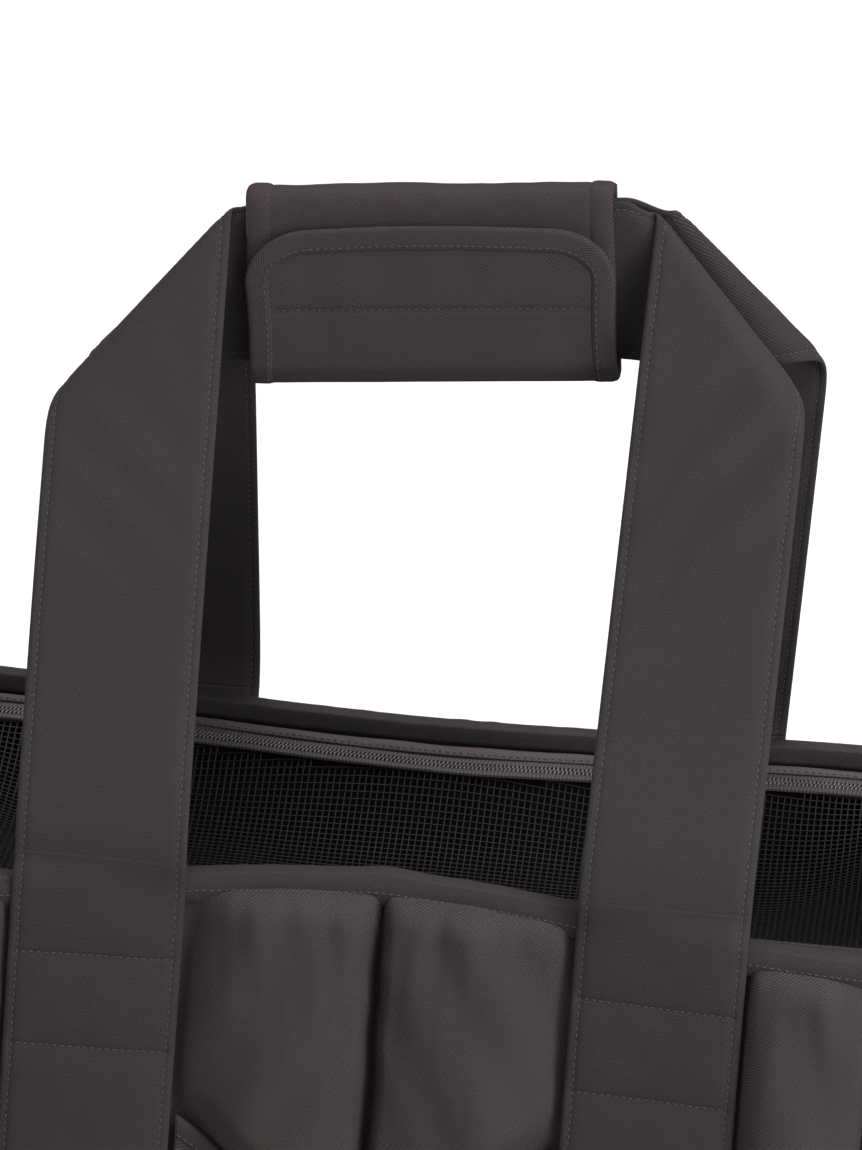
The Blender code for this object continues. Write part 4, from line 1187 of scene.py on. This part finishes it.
def wrap_section(share):
    """Outline of the wrap in the Y-Z plane, from its front foot over the top and round, share from 0 to 1."""
    turn = 2 * math.pi * (share - 0.25)
    y = -(GRIP_HALF_DEPTH + 0.0006) * math.copysign(abs(math.cos(turn)) ** 0.42, math.cos(turn))
    z = (GRIP_HALF_HEIGHT + 0.0004) * math.copysign(abs(math.sin(turn)) ** 0.63, math.sin(turn))
    return y, z


def build_wrap():
    """Padded wrap round both handles, with a stitched hem at each end."""
    piece = Piece("grip_wrap", "wrap", "thread")
    start = 0.013
    xs = np.concatenate([
        WRAP_END - GRIP_HALF_LENGTH,
        np.linspace(start - GRIP_HALF_LENGTH, GRIP_HALF_LENGTH - start, 60),
        GRIP_HALF_LENGTH - WRAP_END[::-1],
    ])

    def place(share, x):
        inside = GRIP_HALF_LENGTH - abs(x)
        grow = 0.0005 * float(ease(1 - (inside - WRAP_HEM) / 0.0015))
        grow -= 0.0007 * math.exp(-(((inside - WRAP_HEM) / 0.0009) ** 2))
        grow -= 0.0010 * (1 - float(ease(inside / 0.0016)))
        grow += 0.0006 * bump_noise((x, share * 0.15, 0), 0.025, 3.3)
        grow += 0.0003 * bump_noise((x, share * 0.15, 0), 0.009, 1.3)
        y, z = wrap_section(share)
        size = math.hypot(y, z)
        return GRIP_FRAME @ Vector((x, y * (1 + 2 * grow / size), z + grow * z / size))

    top, normals = piece.slab(grid(place, shares(121)[:-1], xs), 0.0010, 0.0011, wrap=True)
    for k in (8, len(xs) - 9):
        piece.stitches(closed(top[:, k]), closed(normals[:, k]))
    piece.build("grip", "twill")


def flap_outline(share):
    """Edge of the flap from its lower left corner, over the top, to its lower right corner."""
    half, radius_x, radius_z = FLAP_HALF, *FLAP_R
    corner = math.pi / 4 * (radius_x + radius_z)
    side = FLAP_TOP - radius_z - FLAP_LOW
    top = 2 * (half - radius_x)
    length = 2 * (side + corner) + top
    mirror = share > 0.5
    run = length * (1 - share if mirror else share)
    if run < side:
        x, z = -half + 0.0006 * math.sin(math.pi * run / side), FLAP_LOW + run
    elif run < side + corner:
        turn = math.pi / 2 * (run - side) / corner
        x, z = -half + radius_x - radius_x * math.cos(turn), FLAP_TOP - radius_z + radius_z * math.sin(turn)
    else:
        past = run - side - corner
        x, z = -half + radius_x + past, FLAP_TOP + 0.0012 * math.sin(math.pi * past / top)
    return -x if mirror else x, z


def build_flap():
    """Closing flap: a padded panel stitched across, with bias binding round its free edge."""
    piece = Piece("grip_flap", "wrap", "thread")
    seam_z = -0.0065
    margin = 0.0012  # the panel ends this far inside the flap's edge

    def flap_y(x, z):
        """The flap bulges over the grip, less towards its top and foot, and has a groove along its seam."""
        curve = 0.6 * 0.0022 * (1 - (z / 0.034) ** 2)
        groove = 0.0007 * math.exp(-(((z - seam_z) / 0.0012) ** 2)) if abs(x) < FLAP_HALF - 0.009 else 0.0
        tuck = 0.0035 * float(ease((-0.0265 - z) / 0.0075))
        return FLAP_Y - curve + groove - 0.0006 * bump_noise((x, 0, z), 0.02, 5.5) + tuck

    def panel(u, v):
        z = FLAP_LOW + v * (FLAP_TOP - margin - FLAP_LOW)
        over = max((z - FLAP_TOP + FLAP_R[1]) / FLAP_R[1], 0.0)
        half = FLAP_HALF - FLAP_R[0] + FLAP_R[0] * math.sqrt(max(1 - over**2, 0.0))
        x = (2 * u - 1) * (half - margin)
        return GRIP_FRAME @ Vector((x, flap_y(x, z), z))

    rows = shares(61)
    row = int(np.argmin(np.abs(FLAP_LOW + rows * (FLAP_TOP - margin - FLAP_LOW) - seam_z)))
    piece.slab(grid(panel, shares(101), rows), 0.0009, 0.0011, rows=[row], within=slice(8, -8))

    width = 0.0082
    edge = np.array([flap_outline(s) for s in shares(201)])
    tangent = unit(np.gradient(edge, axis=0))
    inward = np.stack([tangent[:, 1], -tangent[:, 0]], 1)

    def band(i, s):
        x, z = edge[i] + inward[i] * s * width
        return GRIP_FRAME @ Vector((x, flap_y(x, z) - 0.0007, z))

    spots = shares(11)[::-1]
    behind = 0.9 * (0.0009 + 0.0022 * (1 - spots) ** 3)
    piece.slab(grid(band, range(len(edge)), spots), rounded(spots, 0.0009, 4, 0.1, 0.6), behind, rows=[2])
    piece.build("flap", "twill")


def build_tape(name, body, y, look):
    """A strip of hook or loop tape, stitched along both edges."""
    piece = Piece(name, look, "thread")

    def place(u, v):
        x, z = (2 * u - 1) * TAPE_HALF, (v - 0.5) * TAPE_W
        soft = 0.00015 * bump_noise((x, y, z), 0.0012, 2.0)
        return GRIP_FRAME @ Vector((x, y - soft, z + TAPE_MID_Z))

    piece.slab(grid(place, shares(181), shares(36)), 0.0005, 0.0005, rows=(2, 33), within=slice(3, -3))
    piece.build(body, "hook_and_loop")


# ---------------------------------------------------------------- pocket, mat and tether


def pocket_mouth(x):
    """Height of the pocket's mouth."""
    return POCKET_SIDE_Z - POCKET_DIP * fade(x, POCKET_HALF * 1.25)


def pocket_point(u, v):
    """Point of the pocket's panel."""
    x = (2 * u - 1) * POCKET_HALF
    foot = 0.012
    z = foot + v * (pocket_mouth(x) - foot)
    out = 0.0034 + POCKET_SWELL * fade(x, POCKET_HALF) * math.sin(math.pi * (0.12 + 0.50 * v)) ** 0.7
    out += 0.0010 * bump_noise((x, 0, z), 0.03, 6.6) * math.sin(math.pi * u)
    return x, wall_y(x, z, -1) - WALL_T / 2 - out, z


def build_pocket():
    """Front pocket and the bound edge of its mouth."""
    piece = Piece("front_pocket", "panel", "lining")
    piece.slab(grid(pocket_point, shares(101), shares(91)), 0.0012, 0.0010, under=1)
    piece.build("bag", "twill")

    def place(u, v):
        x, y, z = pocket_point(u, 1.0)
        return x, y - 0.0002, z + 0.0042 - 0.0085 * v

    band = Piece("pocket_binding", "binding", "thread")
    profile = rounded(shares(9), 0.0019, 4, 0.08)
    band.slab(grid(place, shares(101), shares(9))[::-1], profile, profile, rows=[6])
    band.build("bag", "dark_binding")


def remeshed(obj, voxel=0.005):
    """Rebuilds a closed mesh from even voxels, and returns its points."""
    mesh = obj.modifiers.new("remesh", "REMESH")
    mesh.mode = "VOXEL"
    mesh.voxel_size = voxel
    mesh.use_smooth_shade = True
    bpy.context.view_layer.update()
    obj.data = bpy.data.meshes.new_from_object(obj.evaluated_get(bpy.context.evaluated_depsgraph_get()))
    obj.modifiers.clear()
    return np.array([v.co for v in obj.data.vertices], float)


def inflated(obj, start, limit, pressure=4.0, frames=20):
    """Points of a closed pad inflated by the Cloth solver, none moved farther than the limit."""
    cloth = obj.modifiers.new("cloth", "CLOTH")
    cloth.settings.use_pressure = True
    cloth.settings.uniform_pressure_force = pressure
    cloth.settings.quality = 5
    cloth.settings.effector_weights.gravity = 0.0
    cloth.point_cache.frame_end = frames
    for k in range(1, frames + 1):
        bpy.context.scene.frame_set(k)
    evaluated = obj.evaluated_get(bpy.context.evaluated_depsgraph_get())
    move = np.array([v.co for v in evaluated.data.vertices], float) - start
    obj.modifiers.clear()
    bpy.context.scene.frame_set(1)
    size = np.linalg.norm(move, axis=1, keepdims=True)
    return start + move * np.minimum(1.0, limit / np.maximum(size, 1e-9))


def build_mat():
    """Loose padded mat, quilted in squares."""
    low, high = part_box("inner_mat")
    room = WALL_T / 2 + 0.0065 + PIPING_R
    bm = bmesh.new()
    ring = [around(t, 0.0, room) for t in shares(97)[:-1]]
    face = bm.faces.new([bm.verts.new((x, y + CENTRE_SHIFT, low.z + 0.0006)) for x, y in ring])
    up = bmesh.ops.extrude_face_region(bm, geom=[face])
    top = [v for v in up["geom"] if isinstance(v, bmesh.types.BMVert)]
    bmesh.ops.translate(bm, vec=(0, 0, high.z - low.z - 0.0020), verts=top)
    bmesh.ops.recalc_face_normals(bm, faces=bm.faces)
    mesh = bpy.data.meshes.new("inner_mat")
    bm.to_mesh(mesh)
    bm.free()
    obj = add_object("inner_mat_pad", mesh)
    points = remeshed(obj)
    points = inflated(obj, points, 0.008)
    quilt = 0.074
    for vert, (x, y, z) in zip(obj.data.vertices, points):
        z = min(max(z, low.z + 0.0003), high.z + 0.004)
        if z > (low.z + high.z) / 2:
            seam = quilt * min(abs((x / quilt + 0.5) % 1.0 - 0.5), abs((y / quilt) % 1.0 - 0.5))
            z -= 0.0042 * math.exp(-seam / 0.006)
        vert.co = (x, y, z)
    smooth = obj.modifiers.new("smooth", "SUBSURF")
    smooth.levels = smooth.render_levels = 1
    obj.data.materials.clear()
    obj.data.materials.append(LOOKS["lining"])
    obj.data.shade_smooth()
    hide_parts("inner_mat")
    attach(obj, "liner")


def build_tether():
    """Safety strap on the left end wall, doubled through the hook's eye."""
    piece = Piece("tether_strap", "tether", "thread")
    apart = 0.0020 + GAP + TETHER_T / 2
    low = EYE_Z + 0.0039
    wall = -(HALF_LENGTH + swell(0.23) - WALL_T / 2 - GAP - TETHER_T / 2)
    path = [(wall, TETHER_TOP_Z), (wall, TETHER_TOP_Z - 0.014), (TETHER_X - apart, 0.200)]
    path += [(TETHER_X - apart, low + 0.002), (TETHER_X - 0.001, low), (TETHER_X + 0.001, low)]
    path += [(TETHER_X + apart, low + 0.002), (TETHER_X + apart, 0.172)]
    line = np.array([(x, 0.0, z) for x, z in path])
    spots = along(line, np.linspace(0, arc_length(line)[-1], 90))
    for _ in range(2):
        spots[1:-1] = (spots[:-2] + 2 * spots[1:-1] + spots[2:]) / 4
    across = shares(13)
    points = np.repeat(spots[None], len(across), 0)
    points[:, :, 1] = (across[:, None] - 0.5) * TETHER_W
    profile = rounded(across, TETHER_T / 2, 8, 0.1)[:, None]
    piece.slab(points, profile, profile, rows=(6, 76), within=slice(1, 12))
    piece.build("bag", "tether_webbing")


def finish_cad_nodes():
    """Bevels and materials for the small hard pieces that keep their CAD shape."""
    looks = {
        "zip_slider": ("painted", 0.00035),
        "zip_pull": ("painted", 0.0003),
        "zip_stop_left": ("painted", 0.0006),
        "zip_stop_right": ("painted", 0.0006),
        "tether_eye": ("steel", 0.0006),
        "tether_hook": ("steel", 0.0007),
        "tether_gate": ("steel", 0.0005),
        "base_board": ("board", 0.0006),
        "base_panel": ("base", 0.0008),
    }
    for node, (look, width) in looks.items():
        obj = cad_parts[node]
        obj.data.materials.clear()
        obj.data.materials.append(LOOKS[look])
        edge = obj.modifiers.new("rounded", "BEVEL")
        edge.width = width
        edge.segments = 2
        edge.limit_method = "ANGLE"


# ---------------------------------------------------------------- camera, light and floor


def aimed(place, target):
    """A camera's or light's matrix at a place, looking at a target."""
    away = Vector(place) - Vector(target)
    return Matrix.Translation(place) @ away.to_track_quat("Z", "Y").to_matrix().to_4x4()


def add_camera():
    """Long lens, from the front, a little from the right and above, and slightly rolled."""
    azimuth, elevation, roll = math.radians(4.3), math.radians(15.6), math.radians(4.0)
    distance = 3.0
    target = Vector((0.0012, 0.0, 0.3637))  # between the rim and the grip
    back = Vector((
        math.sin(azimuth) * math.cos(elevation),
        -math.cos(azimuth) * math.cos(elevation),
        math.sin(elevation),
    ))
    camera = bpy.data.cameras.new("camera")
    camera.lens = 264.6
    camera.sensor_width = 36.0
    camera.clip_end = 60.0
    place = aimed(target + back * distance, target) @ Matrix.Rotation(roll, 4, "Z")
    bpy.context.scene.camera = add_object("camera", camera, place)


def add_sun(name, energy, softness, source):
    """A distant studio light that shines from the direction of source; softness is its width in degrees."""
    light = bpy.data.lights.new(name, "SUN")
    light.energy = energy
    light.angle = math.radians(softness)
    add_object(name, light, aimed(source, (0, 0, 0)))


def add_lamp(name, power, size, place, target):
    """A soft box that stands at a place and shines on a target."""
    light = bpy.data.lights.new(name, "AREA")
    light.energy = power
    light.size = size
    add_object(name, light, aimed(place, target))


def add_stage():
    """Pale floor, white surroundings and studio light."""
    bm = bmesh.new()
    bmesh.ops.create_grid(bm, x_segments=4, y_segments=4, size=30.0)
    mesh = bpy.data.meshes.new("floor")
    bm.to_mesh(mesh)
    bm.free()
    floor = add_object("floor", mesh, Matrix.Translation((0, 0, cad_box[0].z - 0.0005)))
    look = Look("floor", roughness=0.9, specular=0.1)
    look.shader.inputs["Base Color"].default_value = (0.54, 0.54, 0.54, 1.0)
    floor.data.materials.append(look.material)
    world = bpy.data.worlds.new("studio")
    world.use_nodes = True
    sky = world.node_tree.nodes["Background"]
    sky.inputs["Color"].default_value = (1.0, 1.0, 1.0, 1.0)
    sky.inputs["Strength"].default_value = 0.20
    bpy.context.scene.world = world
    bpy.context.scene.view_settings.view_transform = "Standard"
    add_sun("key", 2.4, 22.0, (0.95, -0.75, 1.50))
    add_sun("top", 3.9, 60.0, (-0.2, 0.1, 1.4))
    add_sun("fill", 1.3, 40.0, (0.6, -1.0, 0.06))
    add_lamp("side", 9.0, 0.35, (0.90, -0.65, 0.62), (0.0, -0.08, 0.30))


def main():
    """Builds the whole scene."""
    add_camera()
    add_stage()
    make_looks()
    build_long_wall("front_wall", -1)
    build_long_wall("rear_wall", 1)
    build_end_wall("left_wall", -1)
    build_end_wall("right_wall", 1)
    build_window("left", -1)
    build_window("right", 1)
    build_base()
    build_rim_binding()
    build_facings()
    build_zip()
    build_cover()
    for label, side in (("front", -1), ("rear", 1)):
        build_sewn_strap(label + "_left_strap", -STRAP_X, side)
        build_sewn_strap(label + "_right_strap", STRAP_X, side)
        build_handle(label + "_handle", side)
    build_wrap()
    build_flap()
    build_tape("grip_hook_tape", "grip", -0.0102, "hooks")
    build_tape("flap_loop_tape", "flap", -0.0117, "loops")
    build_pocket()
    build_mat()
    build_tether()
    finish_cad_nodes()


main()
